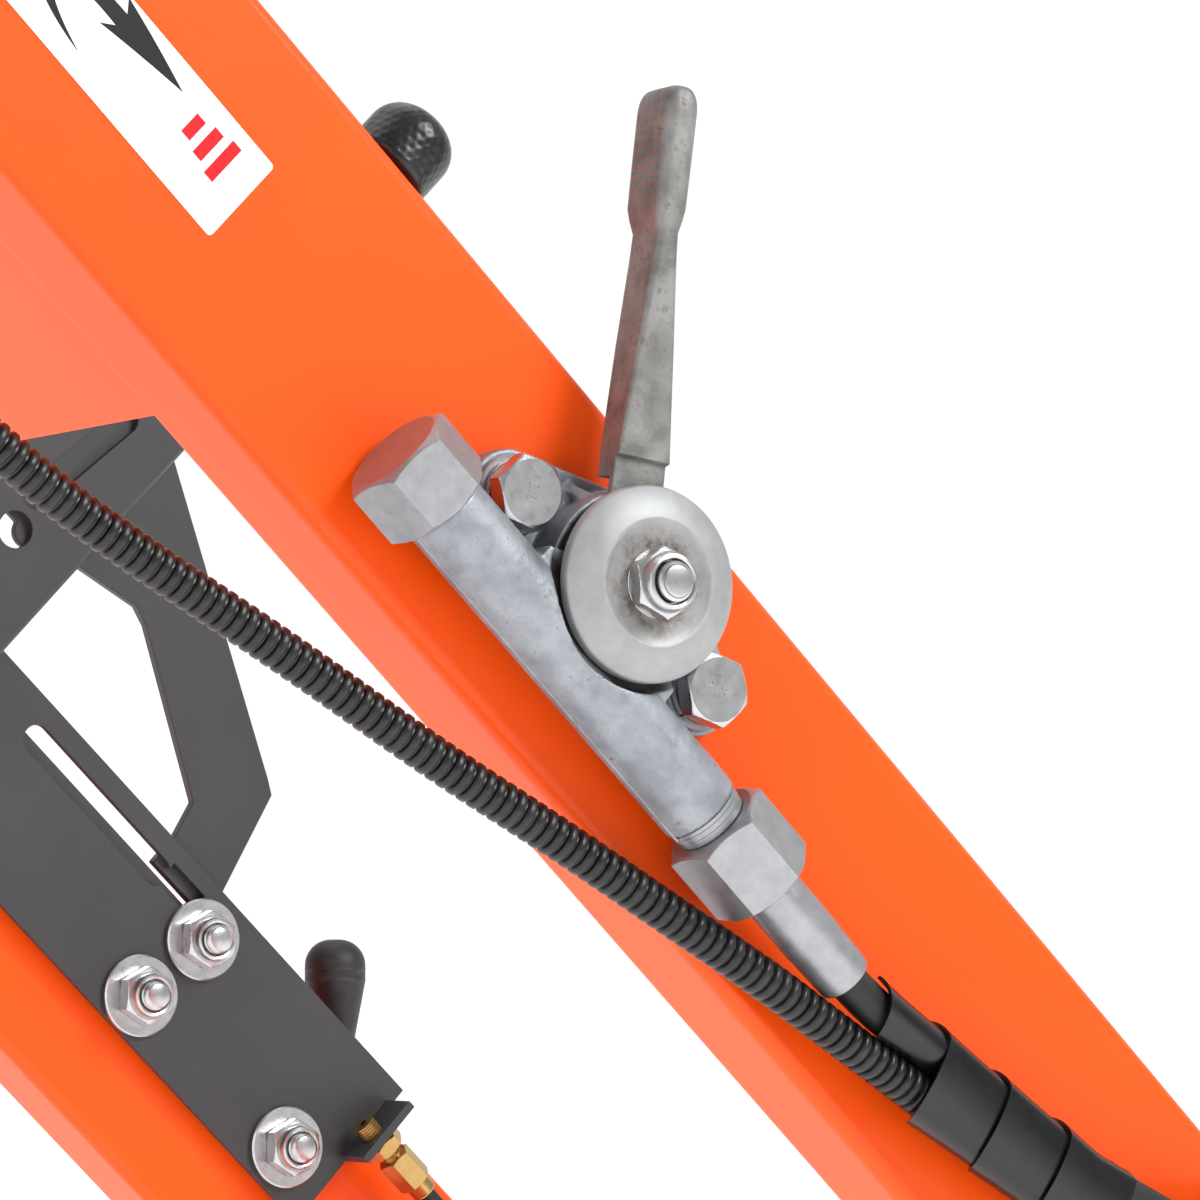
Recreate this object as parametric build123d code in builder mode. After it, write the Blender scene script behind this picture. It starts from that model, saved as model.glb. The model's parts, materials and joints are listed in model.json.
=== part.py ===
"""Guide handle of a walk-behind reversible plate compactor, with its hydraulic travel-control hand pump.

Row frame: +Z up, +Y from the near leg to the far leg, origin at the middle of the lower pivot tube. Places on
the sloping legs are given as (s, w, h) in millimetres, from the pump pinion's axis on the near leg's outer face:
s runs down the leg, w across its face towards the hand lever, and h straight out of the face.
"""
import os
from math import acos, atan2, cos, degrees, pi, radians, sin, sqrt, tan

from build123d import *

os.makedirs("parts", exist_ok=True)

# ---------------------------------------------------------------- driving dimensions (mm)
slope = 43.73             # fall of the legs below the horizontal, degrees
running = 0.04            # radial clearance of a turning or sliding fit
seat = 0.05               # radial clearance of pieces that sit in each other

leg_width = 81.6          # across the face
leg_depth = 32            # from face to back
leg_wall = 3
leg_corner = 4
leg_pitch = 455           # face of the near leg to face of the far leg
leg_top = -270            # s of the upper ends
leg_bottom = 315          # s of the lower ends
leg_edge = 35.2           # w of the upper edge of the face, above the pinion axis
layout_w = 33             # w of the line that the far leg's brackets are set out from

bolt_spacing = 72         # pump fixing bolts, down the leg
bolt_skew = 4             # drop of the upper one towards the tube
bolt_d = 10               # M10 throughout
bolt_flats = 17
bolt_head = 6.4
flat_washer_d = 20.5
flat_washer_t = 2
spring_washer_d = 17.5
spring_washer_t = 2.2
ear_height = 6.0
ear_radius = 11.5

gear_module = 1.5
gear_teeth = 26
pressure_angle = 20
gear_low = 8.6            # h of the pinion's lower face
gear_high = 15.0
backlash = 0.25
rack_length = 64
rack_rest = 13.1          # s of the rack's middle at rest

tube_d = 21.2
tube_bore_d = 13.4
tube_drop = 24.8          # pinion axis to tube axis
tube_h = 15.0             # tube axis above the face
tube_top = -51
tube_bottom = 53
thread_d = 16.4           # end threads of the tube
thread_depth = 5
housing_top = 16.6
recess_d = 54             # relief in the casting round the cover disc
recess_floor = 21.6

disc_d = 49
disc_low = 22.0
disc_rim = 25.2
disc_crown = 29.1
disc_crown_d = 32.5
disc_pan = 27.9
lever_hub_d = 27
lever_low = 17.0
lever_high = 20.8
lever_back = 11.6
lever_length = 126.5
lever_offset = 3.0        # arm's middle line from the pinion axis
base_half = 7.7           # half the arm's width at its root, neck and grip
neck_half = 3.3
grip_half = 5.0
neck_depth = 14.2         # thickness of the arm at its neck and grip
grip_depth = 16.6
lever_angle = 36.0        # rest angle from the w axis, towards the upper end
journal_d = 10
neck_d = 16
stud_tip = 37.6
lever_nut_flats = 16
lever_nut_low = 28.0

cap_flats = 26.4
cap_top = -69.5
nut_flats = 25.4
nut_top = 58.2
nut_bottom = 80.6
ferrule_d = 15.8
ferrule_tail_d = 14.6
ferrule_step = 101
ferrule_bottom = 114.4
hose_d = 10.4
conduit_d = 10.7
wrap_wall = 0.9
wrap_top = 139
wrap_bottom = 212
bulkhead_s = 252

bridge_t = 3
bridge_low = 75           # drop of the bridge plate below the leg's upper edge
bridge_top = -262
bridge_bottom = -104
bush_d = 30
pivot_bore_d = 20
pivot_s = 288
upper_bore_d = 12.4
upper_s = -240

plate_t = 3
backing_t = 4
plate_bolts = [(154, -5.4), (150, -35), (226, -33.5)]   # (s, w from the layout line)
large_washer_d = 27.5
large_washer_t = 2.5
plate_nut_flats = 17
plate_nut_t = 9.5

# ---------------------------------------------------------------- planes and small helpers
edge_w = leg_edge                                 # w of the legs' upper edges
mid_w = leg_edge - leg_width / 2                  # w of the legs' centre lines
down = Vector(cos(radians(slope)), 0, -sin(radians(slope)))
slant = Vector(sin(radians(slope)), 0, cos(radians(slope)))
half_span = (leg_pitch + leg_depth) / 2
face = Plane(origin=down * -pivot_s - slant * mid_w + Vector(0, -half_span, 0), x_dir=down, z_dir=(0, -1, 0))
tube_w = -tube_drop
far_h = -leg_pitch


def place(s, w, h):
    """Point in the row frame from its place on the leg."""
    return face.from_local_coords((s, w, h))


def level(h):
    """Plane parallel to the face, h above it."""
    return face.offset(h)


def across(s, w=0.0, h=0.0):
    """Plane square to the leg at s: local x is w, local y is h."""
    return Plane(origin=place(s, w, h), x_dir=face.y_dir, z_dir=face.x_dir)


def turned_face(angle):
    """The face's plane with its x axis turned from down the leg towards the lever."""
    return Plane(origin=face.origin, z_dir=face.z_dir,
                 x_dir=face.x_dir * cos(radians(angle)) + face.y_dir * sin(radians(angle)))


def upward(s, w, h):
    """Plane whose normal points up out of the leg's upper flange: local x is h, local y is s."""
    return Plane(origin=place(s, w, h), x_dir=face.z_dir, z_dir=face.y_dir)


def export(piece, name):
    piece.part.label = name
    export_step(piece.part, f"parts/{name}.step")


def flats_radius(flats):
    return flats / sqrt(3)


# ---------------------------------------------------------------- legs
def leg(h0, name, extra=None):
    """Closed folded-sheet leg whose outer face lies at h0."""
    with BuildPart() as tube:
        with BuildSketch(across(leg_top, mid_w, h0 - leg_depth / 2)):
            RectangleRounded(leg_width, leg_depth, leg_corner)
            RectangleRounded(leg_width - 2 * leg_wall, leg_depth - 2 * leg_wall, leg_corner - leg_wall,
                             mode=Mode.SUBTRACT)
        extrude(amount=leg_bottom - leg_top)
        with BuildSketch(level(h0)):
            with Locations((pivot_s, mid_w)):
                Circle(bush_d / 2 + seat)
            with Locations((upper_s, mid_w)):
                Circle(bush_d / 2 + seat)
        extrude(amount=-leg_depth, mode=Mode.SUBTRACT)
        if extra:
            points, radius = extra
            with BuildSketch(level(h0)):
                with Locations(*points):
                    Circle(radius)
            extrude(amount=-2 * leg_wall, mode=Mode.SUBTRACT)
    export(tube, name)


pump_bolts = [(-bolt_spacing / 2, -bolt_skew), (bolt_spacing / 2, 0)]
bolt_hole_r = bolt_d / 2 + 0.5
far_bolts = [(s, layout_w + w) for s, w in plate_bolts]
leg(0, "near_leg", (pump_bolts, bolt_hole_r))
leg(far_h, "far_leg", (far_bolts, bolt_hole_r))

with BuildPart() as plugs:
    plug_grip = 10
    plug_rim = 3
    for h0 in (0, far_h):
        for s0, way in ((leg_top, 1), (leg_bottom, -1)):
            with BuildSketch(across(s0, mid_w, h0 - leg_depth / 2)):
                RectangleRounded(leg_width - 2 * leg_wall - 0.2, leg_depth - 2 * leg_wall - 0.2,
                                 leg_corner - leg_wall - 0.1)
            extrude(amount=way * plug_grip)
            with BuildSketch(across(s0, mid_w, h0 - leg_depth / 2)):
                RectangleRounded(leg_width - 1, leg_depth - 1, leg_corner - 0.5)
            extrude(amount=-way * plug_rim)
export(plugs, "leg_end_plugs")

# bushes welded through the legs, and the tube that ties the lower ones together
with BuildPart() as pivot_tube:
    with BuildSketch(Plane(origin=place(pivot_s, mid_w, 0), x_dir=face.x_dir, z_dir=-face.z_dir)):
        Circle(bush_d / 2)
        Circle(pivot_bore_d / 2, mode=Mode.SUBTRACT)
    extrude(amount=leg_pitch + leg_depth)
export(pivot_tube, "pivot_tube")

with BuildPart() as upper_bushes:
    for h0 in (0, far_h):
        with BuildSketch(level(h0 + 1)):
            with Locations((upper_s, mid_w)):
                Circle(bush_d / 2)
                Circle(upper_bore_d / 2, mode=Mode.SUBTRACT)
        extrude(amount=-leg_depth - 2)
export(upper_bushes, "upper_bushes")

with BuildPart() as bridge:
    bridge_w = edge_w - bridge_low
    bridge_span = leg_pitch - leg_depth
    bridge_h = -leg_depth - bridge_span / 2
    with BuildSketch(upward((bridge_top + bridge_bottom) / 2, bridge_w - bridge_t, bridge_h)):
        Rectangle(bridge_span, bridge_bottom - bridge_top)
    extrude(amount=bridge_t)
    lip = 16
    for s0 in (bridge_top, bridge_bottom - bridge_t):
        with BuildSketch(across(s0, bridge_w + lip / 2, bridge_h)):
            Rectangle(lip, bridge_span)
        extrude(amount=bridge_t)
export(bridge, "bridge_plate")

# ---------------------------------------------------------------- pump casting
housing_r = 24
chamber_r = gear_module * (gear_teeth + 2) / 2 + 0.35
cover_r = 22.5
cover_flat = 15.2         # pinion axis to the flat that clears the rack's bore
with BuildPart() as body:
    with BuildSketch(level(0.05)):
        with Locations(*pump_bolts):
            Circle(ear_radius)
        Circle(housing_r)
        make_hull()
    extrude(amount=ear_height)
    with BuildSketch(level(0.05)):
        Circle(housing_r)
    extrude(amount=housing_top)
    with BuildSketch(level(0.05)):
        with Locations((0, tube_w / 2 - 4)):
            Rectangle(58, tube_drop)
    extrude(amount=ear_height)
    with BuildSketch(across(tube_top, tube_w, tube_h)):
        Circle(tube_d / 2)
    extrude(amount=tube_bottom - tube_top)
    lug_s = 25
    lug_top = 21
    for side in (-1, 1):
        with BuildSketch(level(0.05)):
            with BuildLine():
                Polyline((side * lug_s, tube_w), (side * lug_s, tube_w + 13), (side * (lug_s - 4), tube_w + 15),
                         (side * (lug_s - 15), tube_w), close=True)
            make_face()
        extrude(amount=lug_top)
    with BuildSketch(level(recess_floor)):
        Circle(recess_d / 2)
    extrude(amount=20, mode=Mode.SUBTRACT)
    with BuildSketch(level(gear_low - 0.3)):
        Circle(chamber_r)
    extrude(amount=housing_top, mode=Mode.SUBTRACT)
    with BuildSketch(level(gear_high + 0.3)):
        Circle(cover_r)
    extrude(amount=housing_top, mode=Mode.SUBTRACT)
    with BuildSketch(level(gear_low)):
        Circle(journal_d / 2 + running)
    extrude(amount=-5, mode=Mode.SUBTRACT)
    with BuildSketch(across(tube_top, tube_w, tube_h)):
        Circle(tube_bore_d / 2)
    extrude(amount=tube_bottom - tube_top, mode=Mode.SUBTRACT)
    for s0, way in ((tube_top, 1), (tube_bottom, -1)):
        with BuildSketch(across(s0, tube_w, tube_h)):
            Circle(thread_d / 2)
        extrude(amount=way * thread_depth, mode=Mode.SUBTRACT)
    with BuildSketch(level(0.05)):
        with Locations(*pump_bolts):
            Circle(bolt_hole_r)
    extrude(amount=tube_h * 2, mode=Mode.SUBTRACT)
export(body, "pump_body")

# ---------------------------------------------------------------- pinion, rack and lever
pitch_r = gear_module * gear_teeth / 2
base_r = pitch_r * cos(radians(pressure_angle))
tip_r = pitch_r + gear_module
root_r = pitch_r - 1.25 * gear_module
rack_offset = tube_drop - pitch_r
rack_r = tube_bore_d / 2 - running


def involute(angle):
    return tan(angle) - angle


def flank_angle(radius):
    """Half the angle that a tooth spans at a radius."""
    half = (pi * gear_module / 2 - backlash) / (2 * pitch_r)
    return half + involute(radians(pressure_angle)) - involute(acos(base_r / max(radius, base_r)))


def polar(radius, angle):
    return (radius * cos(angle), radius * sin(angle))


with BuildPart() as pinion:
    with BuildSketch(level(gear_low)):
        Circle(root_r)
        for tooth in range(gear_teeth):
            middle = -pi / 2 + 2 * pi * tooth / gear_teeth
            waist = (base_r + tip_r) / 2
            with BuildLine():
                start = polar(root_r - 0.5, middle - flank_angle(base_r))
                left = [polar(r, middle - flank_angle(r)) for r in (base_r, waist, tip_r)]
                right = [polar(r, middle + flank_angle(r)) for r in (tip_r, waist, base_r)]
                end = polar(root_r - 0.5, middle + flank_angle(base_r))
                Line(start, left[0])
                ThreePointArc(*left)
                Line(left[2], right[0])
                ThreePointArc(*right)
                Line(right[2], end)
                Line(end, start)
            make_face()
    extrude(amount=gear_high - gear_low)
    with BuildSketch(level(gear_low)):
        Circle(journal_d / 2)
    extrude(amount=-4.6)
    with BuildSketch(level(gear_high)):
        Circle(neck_d / 2)
    extrude(amount=lever_high - gear_high)
    with BuildSketch(level(lever_high)):
        Circle(bolt_d / 2)
    extrude(amount=stud_tip - lever_high)
    chamfer(pinion.faces().sort_by(Axis(place(0, 0, 0), face.z_dir))[-1].edges(), 1.0)
export(pinion, "pinion_shaft")

with BuildPart() as gear_cover:
    with BuildSketch(level(gear_high + 0.35)):
        Circle(cover_r - seat)
        Circle(neck_d / 2 + running, mode=Mode.SUBTRACT)
        with Locations((0, -cover_flat - cover_r / 2)):
            Rectangle(2 * cover_r, cover_r, mode=Mode.SUBTRACT)
    extrude(amount=housing_top - gear_high - 0.35)
export(gear_cover, "gear_cover")

with BuildPart() as rack:
    with BuildSketch(across(rack_rest - rack_length / 2, tube_w, tube_h)):
        Circle(rack_r)
    extrude(amount=rack_length)
    tooth_pitch = pi * gear_module
    tooth_root = rack_offset - 1.25 * gear_module
    tooth_tip = rack_offset + gear_module
    reach = 9
    with BuildSketch(level(tube_h - rack_r)):
        for gap in range(-reach - 1, reach + 2):
            middle = gap * tooth_pitch
            if abs(middle - rack_rest) < rack_length / 2 - 7:
                low = tooth_pitch / 4 + backlash / 2 - 1.25 * gear_module * tan(radians(pressure_angle))
                high = tooth_pitch / 4 + backlash / 2 + 2.5 * gear_module * tan(radians(pressure_angle))
                with BuildLine():
                    Polyline((middle - low, tube_w + tooth_root), (middle + low, tube_w + tooth_root),
                             (middle + high, tube_w + rack_offset + 2.5 * gear_module),
                             (middle - high, tube_w + rack_offset + 2.5 * gear_module), close=True)
                make_face()
    extrude(amount=2 * rack_r, mode=Mode.SUBTRACT)
    with BuildSketch(level(tube_h - rack_r)):
        with Locations((rack_rest, tube_w + tooth_tip + 3)):
            Rectangle(rack_length - 14, 6)
    extrude(amount=2 * rack_r, mode=Mode.SUBTRACT)
    for end in (-1, 1):
        with BuildSketch(across(rack_rest + end * (rack_length / 2 - 3.4) - 1.2, tube_w, tube_h)):
            Circle(rack_r + 1)
            Circle(rack_r - 1.6, mode=Mode.SUBTRACT)
        extrude(amount=2.4, mode=Mode.SUBTRACT)
export(rack, "rack_piston")

with BuildPart() as seals:
    for end in (-1, 1):
        with BuildSketch(across(rack_rest + end * (rack_length / 2 - 3.4) - 1.0, tube_w, tube_h)):
            Circle(rack_r + 0.01)
            Circle(rack_r - 1.5, mode=Mode.SUBTRACT)
        extrude(amount=2.0)
export(seals, "piston_seals")

lever_turn = 90 + lever_angle
with BuildPart() as arm:
    along = turned_face(lever_turn)        # local x runs out along the lever
    arm_start = recess_d / 2 - 1
    neck_x = 89
    grip_x = 95
    beside = Plane(origin=along.from_local_coords((0, lever_offset, 0)), x_dir=along.x_dir, z_dir=along.z_dir)
    with BuildSketch(beside):
        with BuildLine():
            Polyline((arm_start, -base_half), (neck_x, -neck_half), (grip_x, -grip_half),
                     (lever_length - grip_half, -grip_half))
            ThreePointArc((lever_length - grip_half, -grip_half), (lever_length, 0),
                          (lever_length - grip_half, grip_half))
            Polyline((lever_length - grip_half, grip_half), (grip_x, grip_half), (neck_x, neck_half),
                     (arm_start, base_half), (arm_start, -base_half))
        make_face()
    extrude(amount=40)
    side = Plane(origin=face.origin, x_dir=along.x_dir, z_dir=-along.y_dir)
    with BuildSketch(side):
        with BuildLine():
            Polyline((arm_start, lever_back), (neck_x, lever_high - neck_depth), (grip_x, lever_high - grip_depth),
                     (lever_length, lever_high - grip_depth), (lever_length, lever_high + 0.6),
                     (grip_x, lever_high + 0.6), (neck_x, lever_high), (arm_start, lever_high), close=True)
        make_face()
    extrude(amount=30, both=True, mode=Mode.INTERSECT)
    fillet(arm.edges().filter_by(lambda e: e.length > 60), 1.6)
with BuildPart() as lever:
    with BuildSketch(level(lever_low)):
        Circle(lever_hub_d / 2)
    extrude(amount=lever_high - lever_low)
    with BuildSketch(along.offset(lever_low)):
        with Locations((arm_start / 2 + 2, lever_offset)):
            Rectangle(arm_start + 4, 2 * base_half - 0.4)
    extrude(amount=lever_high - 1.6 - lever_low)
    add(arm.part)
    with BuildSketch(level(lever_low)):
        Circle(neck_d / 2 + seat)
    extrude(amount=lever_high, mode=Mode.SUBTRACT)
export(lever, "control_lever")

with BuildPart() as disc:
    with BuildSketch(Plane(origin=place(0, 0, 0), x_dir=face.x_dir, z_dir=-face.y_dir)):
        with BuildLine():
            Polyline((bolt_d / 2 + seat, lever_high + seat), (10, lever_high + seat), (10, disc_low),
                     (disc_d / 2, disc_low), (disc_d / 2, disc_rim),
                     (disc_crown_d / 2, disc_crown), (disc_crown_d / 2 - 1.5, disc_pan),
                     (bolt_d / 2 + seat, disc_pan), close=True)
        make_face()
    revolve(axis=Axis(place(0, 0, 0), face.z_dir))
export(disc, "cover_disc")

with BuildPart() as lever_nut:
    with BuildSketch(level(lever_nut_low)):
        RegularPolygon(flats_radius(lever_nut_flats), 6, rotation=18)
        Circle(bolt_d / 2 + seat, mode=Mode.SUBTRACT)
    extrude(amount=4.9)
    with BuildSketch(level(lever_nut_low + 4.9)):
        Circle(7.5)
        Circle(bolt_d / 2 + seat, mode=Mode.SUBTRACT)
    extrude(amount=3.2)
export(lever_nut, "lever_lock_nut")

# ---------------------------------------------------------------- tube ends, hose nut and ferrule
with BuildPart() as cap:
    with BuildSketch(across(cap_top, tube_w, tube_h)):
        RegularPolygon(flats_radius(cap_flats), 6, rotation=14)
    extrude(amount=tube_top - 0.1 - cap_top)
    with BuildSketch(across(tube_top - 0.1, tube_w, tube_h)):
        Circle(thread_d / 2 - seat)
        Circle(4.5, mode=Mode.SUBTRACT)
    extrude(amount=thread_depth - 0.4)
export(cap, "tube_end_cap")

with BuildPart() as adapter:
    with BuildSketch(across(tube_bottom - thread_depth + 0.3, tube_w, tube_h)):
        Circle(thread_d / 2 - seat)
        Circle(2.5, mode=Mode.SUBTRACT)
    extrude(amount=thread_depth + 4)
    with BuildSketch(across(tube_bottom + 0.1, tube_w, tube_h)):
        Circle(10.1)
        Circle(2.5, mode=Mode.SUBTRACT)
    extrude(amount=3.2)
    with BuildSketch(across(tube_bottom + 3, tube_w, tube_h)):
        Circle(7.0)
        Circle(2.5, mode=Mode.SUBTRACT)
    extrude(amount=14)
export(adapter, "port_adapter")

with BuildPart() as hose_nut:
    with BuildSketch(across(nut_top, tube_w, tube_h)):
        RegularPolygon(flats_radius(nut_flats), 6, rotation=24.6)
        Circle(7.0 + seat, mode=Mode.SUBTRACT)
    extrude(amount=nut_bottom - nut_top)
export(hose_nut, "hose_union_nut")

with BuildPart() as ferrule:
    with BuildSketch(across(tube_bottom + 17.5, tube_w, tube_h)):
        Circle(6.9)
        Circle(2.5, mode=Mode.SUBTRACT)
    extrude(amount=nut_bottom - tube_bottom - 17)
    with BuildSketch(across(nut_bottom + 0.1, tube_w, tube_h)):
        Circle(ferrule_d / 2)
        Circle(2.5, mode=Mode.SUBTRACT)
    extrude(amount=ferrule_step - nut_bottom - 0.1)
    with BuildSketch(across(ferrule_step, tube_w, tube_h)):
        Circle(ferrule_d / 2)
    with BuildSketch(across(ferrule_bottom, tube_w, tube_h)):
        Circle(ferrule_tail_d / 2)
    loft()
    with BuildSketch(across(ferrule_bottom, tube_w, tube_h)):
        Circle(hose_d / 2 + seat)
    extrude(amount=-6, mode=Mode.SUBTRACT)
export(ferrule, "hose_ferrule")

# ---------------------------------------------------------------- pump fixings
with BuildPart() as washers:
    with BuildSketch(level(0.05 + ear_height)):
        with Locations(*pump_bolts):
            Circle(flat_washer_d / 2)
            Circle(bolt_hole_r, mode=Mode.SUBTRACT)
    extrude(amount=flat_washer_t)
export(washers, "pump_flat_washers")

with BuildPart() as springs:
    with BuildSketch(level(0.05 + ear_height + flat_washer_t)):
        with Locations(*pump_bolts):
            Circle(spring_washer_d / 2)
            Circle(bolt_hole_r, mode=Mode.SUBTRACT)
        with Locations(*[(s, w - spring_washer_d / 2) for s, w in pump_bolts]):
            Rectangle(0.8, spring_washer_d / 2, mode=Mode.SUBTRACT)
    extrude(amount=spring_washer_t)
export(springs, "pump_spring_washers")

head_h = 0.05 + ear_height + flat_washer_t + spring_washer_t
with BuildPart() as bolts:
    with BuildSketch(level(head_h)):
        with Locations(*pump_bolts):
            RegularPolygon(flats_radius(bolt_flats), 6, rotation=25)
    extrude(amount=bolt_head)
    with BuildSketch(level(head_h)):
        with Locations(*pump_bolts):
            Circle(bolt_d / 2)
    extrude(amount=-head_h - 18)
export(bolts, "pump_bolts")

with BuildPart() as weld_nuts:
    with BuildSketch(level(-leg_wall - 0.05)):
        with Locations(*pump_bolts):
            RegularPolygon(flats_radius(bolt_flats), 6)
            Circle(bolt_d / 2 + seat, mode=Mode.SUBTRACT)
    extrude(amount=-8)
export(weld_nuts, "pump_weld_nuts")


# ---------------------------------------------------------------- hose, conduit and their wrap
def cord(points, diameter, name, hole=0.0):
    """Straight runs joined by the largest tangent arcs that the runs allow."""
    spots = [place(*p) for p in points]
    radii = []
    for a, b, c in zip(spots, spots[1:], spots[2:]):
        turn = (b - a).get_angle(c - b)
        short = min((b - a).length, (c - b).length)
        radii.append(0.45 * short / tan(radians(turn) / 2))
    with BuildPart() as line:
        with BuildLine() as path:
            FilletPolyline(*spots, radius=radii)
        with BuildSketch(Plane(origin=spots[0], z_dir=spots[1] - spots[0])):
            Circle(diameter / 2)
        sweep()
    wire = path.wires()[0].length
    print(name, "radii", [round(r) for r in radii], "length", round(wire, 1),
          "volume ratio", round(line.part.volume / (pi * diameter ** 2 / 4 * wire), 4))
    export(line, name)


line_end = bulkhead_s - 14                       # s where the hose and the conduit meet their fittings
hose_route = [(108.6, tube_w, tube_h), (123, tube_w, tube_h), (142, -20.3, 13.2), (168, -15.2, 12.4),
              (205, -8.0, 12.0), (line_end, 3.5, 12.0)]
cord(hose_route, hose_d, "hydraulic_hose")

conduit_route = [(-236, -88, -10), (-206, -91, -9), (-176, -94, -7.5), (-148, -93.5, -6), (-120, -90.5, -4.5),
                 (-91, -84.2, -3), (-49, -73.9, 0), (-4, -65.0, 4.5), (33, -55.8, 8.5), (66, -48.6, 11.5),
                 (96, -41.3, 13.0), (122, -36.0, 13.2), (144, -31.2, 12.8), (168, -26.2, 12.2), (205, -18.9, 12.0),
                 (line_end, -12.5, 12.0)]
cord(conduit_route, conduit_d, "corrugated_conduit")

bundle_turn = degrees(atan2(7.2, 205 - 168))      # drift of the hose and the conduit across the face
bundle = turned_face(bundle_turn)


def bundle_plane(s, w, h):
    """Plane square to the hose and conduit where they lie in their wrap."""
    return Plane(origin=place(s, w, h), x_dir=bundle.y_dir, z_dir=bundle.x_dir)


wrap_centre = (168, -20.7)
with BuildPart() as wrap:
    slide_top = (wrap_top - wrap_centre[0]) / cos(radians(bundle_turn))
    slide_length = (wrap_bottom - wrap_top) / cos(radians(bundle_turn))
    middle = bundle_plane(*wrap_centre, 12.8)
    spread = 5.5                                  # half the distance between the two lines
    slack = 1.15
    inner_r = max(conduit_d, hose_d) / 2 + slack
    with BuildSketch(middle.offset(slide_top)):
        SlotCenterToCenter(2 * spread, 2 * (inner_r + wrap_wall))
        SlotCenterToCenter(2 * spread, 2 * inner_r, mode=Mode.SUBTRACT)
    extrude(amount=slide_length)
export(wrap, "spiral_wrap")

# lower bulkhead on the near leg: hose union and conduit gland
hose_end = hose_route[-1]
conduit_end = conduit_route[-1]
with BuildPart() as bulkhead:
    bracket_t = 3
    square = bundle_plane(bulkhead_s, -2.0, 0)
    with BuildSketch(square):
        with Locations((0, 14.05)):
            Rectangle(54, 28)
        with Locations((8.1, 12), (-7.6, 12)):
            Circle(6.2, mode=Mode.SUBTRACT)
    extrude(amount=bracket_t)
    with BuildSketch(Plane(origin=place(bulkhead_s, -2.0, 0.05), x_dir=bundle.x_dir, z_dir=face.z_dir)):
        with Locations((bracket_t + 9, 0)):
            Rectangle(18, 54)
        with Locations((bracket_t + 10, -21), (bracket_t + 10, 21)):
            Circle(3.3, mode=Mode.SUBTRACT)
    extrude(amount=bracket_t)
export(bulkhead, "line_bulkhead")

with BuildPart() as bulkhead_screws:
    for across_face in (-21, 21):
        with BuildSketch(Plane(origin=place(bulkhead_s, -2.0, bracket_t + 0.1), x_dir=bundle.x_dir,
                               z_dir=face.z_dir)):
            with Locations((bracket_t + 10, across_face)):
                RegularPolygon(flats_radius(10), 6)
        extrude(amount=4)
        with BuildSketch(Plane(origin=place(bulkhead_s, -2.0, bracket_t + 0.1), x_dir=bundle.x_dir,
                               z_dir=face.z_dir)):
            with Locations((bracket_t + 10, across_face)):
                Circle(3)
        extrude(amount=-bracket_t)
export(bulkhead_screws, "bulkhead_screws")


def bulkhead_fitting(name, end, stations):
    """Turned fitting through the bulkhead; each station is (start, length, size, hexagon?) along the line."""
    start = bundle_plane(*end)
    with BuildPart() as fitting:
        for first, length, size, six_sided in stations:
            with BuildSketch(start.offset(first)):
                if six_sided:
                    RegularPolygon(flats_radius(size), 6)
                else:
                    Circle(size / 2)
            extrude(amount=length)
    export(fitting, name)


bulkhead_fitting("hose_bulkhead_union", hose_end, [(1.0, 8, 13, False), (8, 4.5, 14, True),
                                                   (12.4, 3.6, 11.6, False), (15.9, 5, 14, True),
                                                   (20, 14, 10.5, False)])
bulkhead_fitting("conduit_gland_lower", conduit_end, [(1.0, 10, 11.6, False), (9.4, 5.9, 13, True),
                                                         (15.2, 3.8, 11.6, False), (18.9, 5, 13, True),
                                                         (23, 5, 11, False)])

# upper conduit gland on a tab under the near leg
tab_s = -243
gland_w, gland_h = -88, -10
tab_width = 24
with BuildPart() as tab:
    tab_t = 3
    tab_high = edge_w - leg_width - 0.6
    tab_low = gland_w - 5
    with BuildSketch(across(tab_s, (tab_high + tab_low) / 2, gland_h)):
        Rectangle(tab_high - tab_low, tab_width)
    extrude(amount=tab_t)
    with BuildSketch(across(tab_s, gland_w, gland_h)):
        Circle(6.3)
    extrude(amount=tab_t, mode=Mode.SUBTRACT)
    with BuildSketch(upward(tab_s + 9, edge_w - leg_width - tab_t - 0.05, gland_h)):
        Rectangle(tab_width, 18)
    extrude(amount=tab_t)
export(tab, "conduit_tab")

with BuildPart() as gland:
    for first, length, size, six_sided in [(-18, 24.2, 12, False), (-6.3, 6.2, 16, True),
                                           (tab_t + 0.1, 2.9, 16, True)]:
        with BuildSketch(across(tab_s + first, gland_w, gland_h)):
            if six_sided:
                RegularPolygon(flats_radius(size), 6)
            else:
                Circle(size / 2)
        extrude(amount=length)
export(gland, "conduit_gland_upper")

# ---------------------------------------------------------------- knob on the near leg, buffer on the far leg
knob_s, knob_h = -109, -leg_depth / 2
knob_d = 23.5
knob_height = 19
with BuildPart() as stud:
    with BuildSketch(upward(knob_s, edge_w + 0.1, knob_h)):
        Circle(9)
    extrude(amount=1.5)
    with BuildSketch(upward(knob_s, edge_w + 0.1, knob_h)):
        Circle(4)
    extrude(amount=14)
export(stud, "knob_stud")

with BuildPart() as knob:
    foot = upward(knob_s, edge_w + 2.1, knob_h)
    with BuildSketch(foot):
        Circle(knob_d / 2)
    extrude(amount=knob_height)
    fillet(knob.edges().sort_by(Axis(foot.origin, foot.z_dir))[-1], 8)
    with BuildSketch(foot):
        Circle(4 + running)
    extrude(amount=12.4, mode=Mode.SUBTRACT)
export(knob, "cover_knob")

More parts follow.
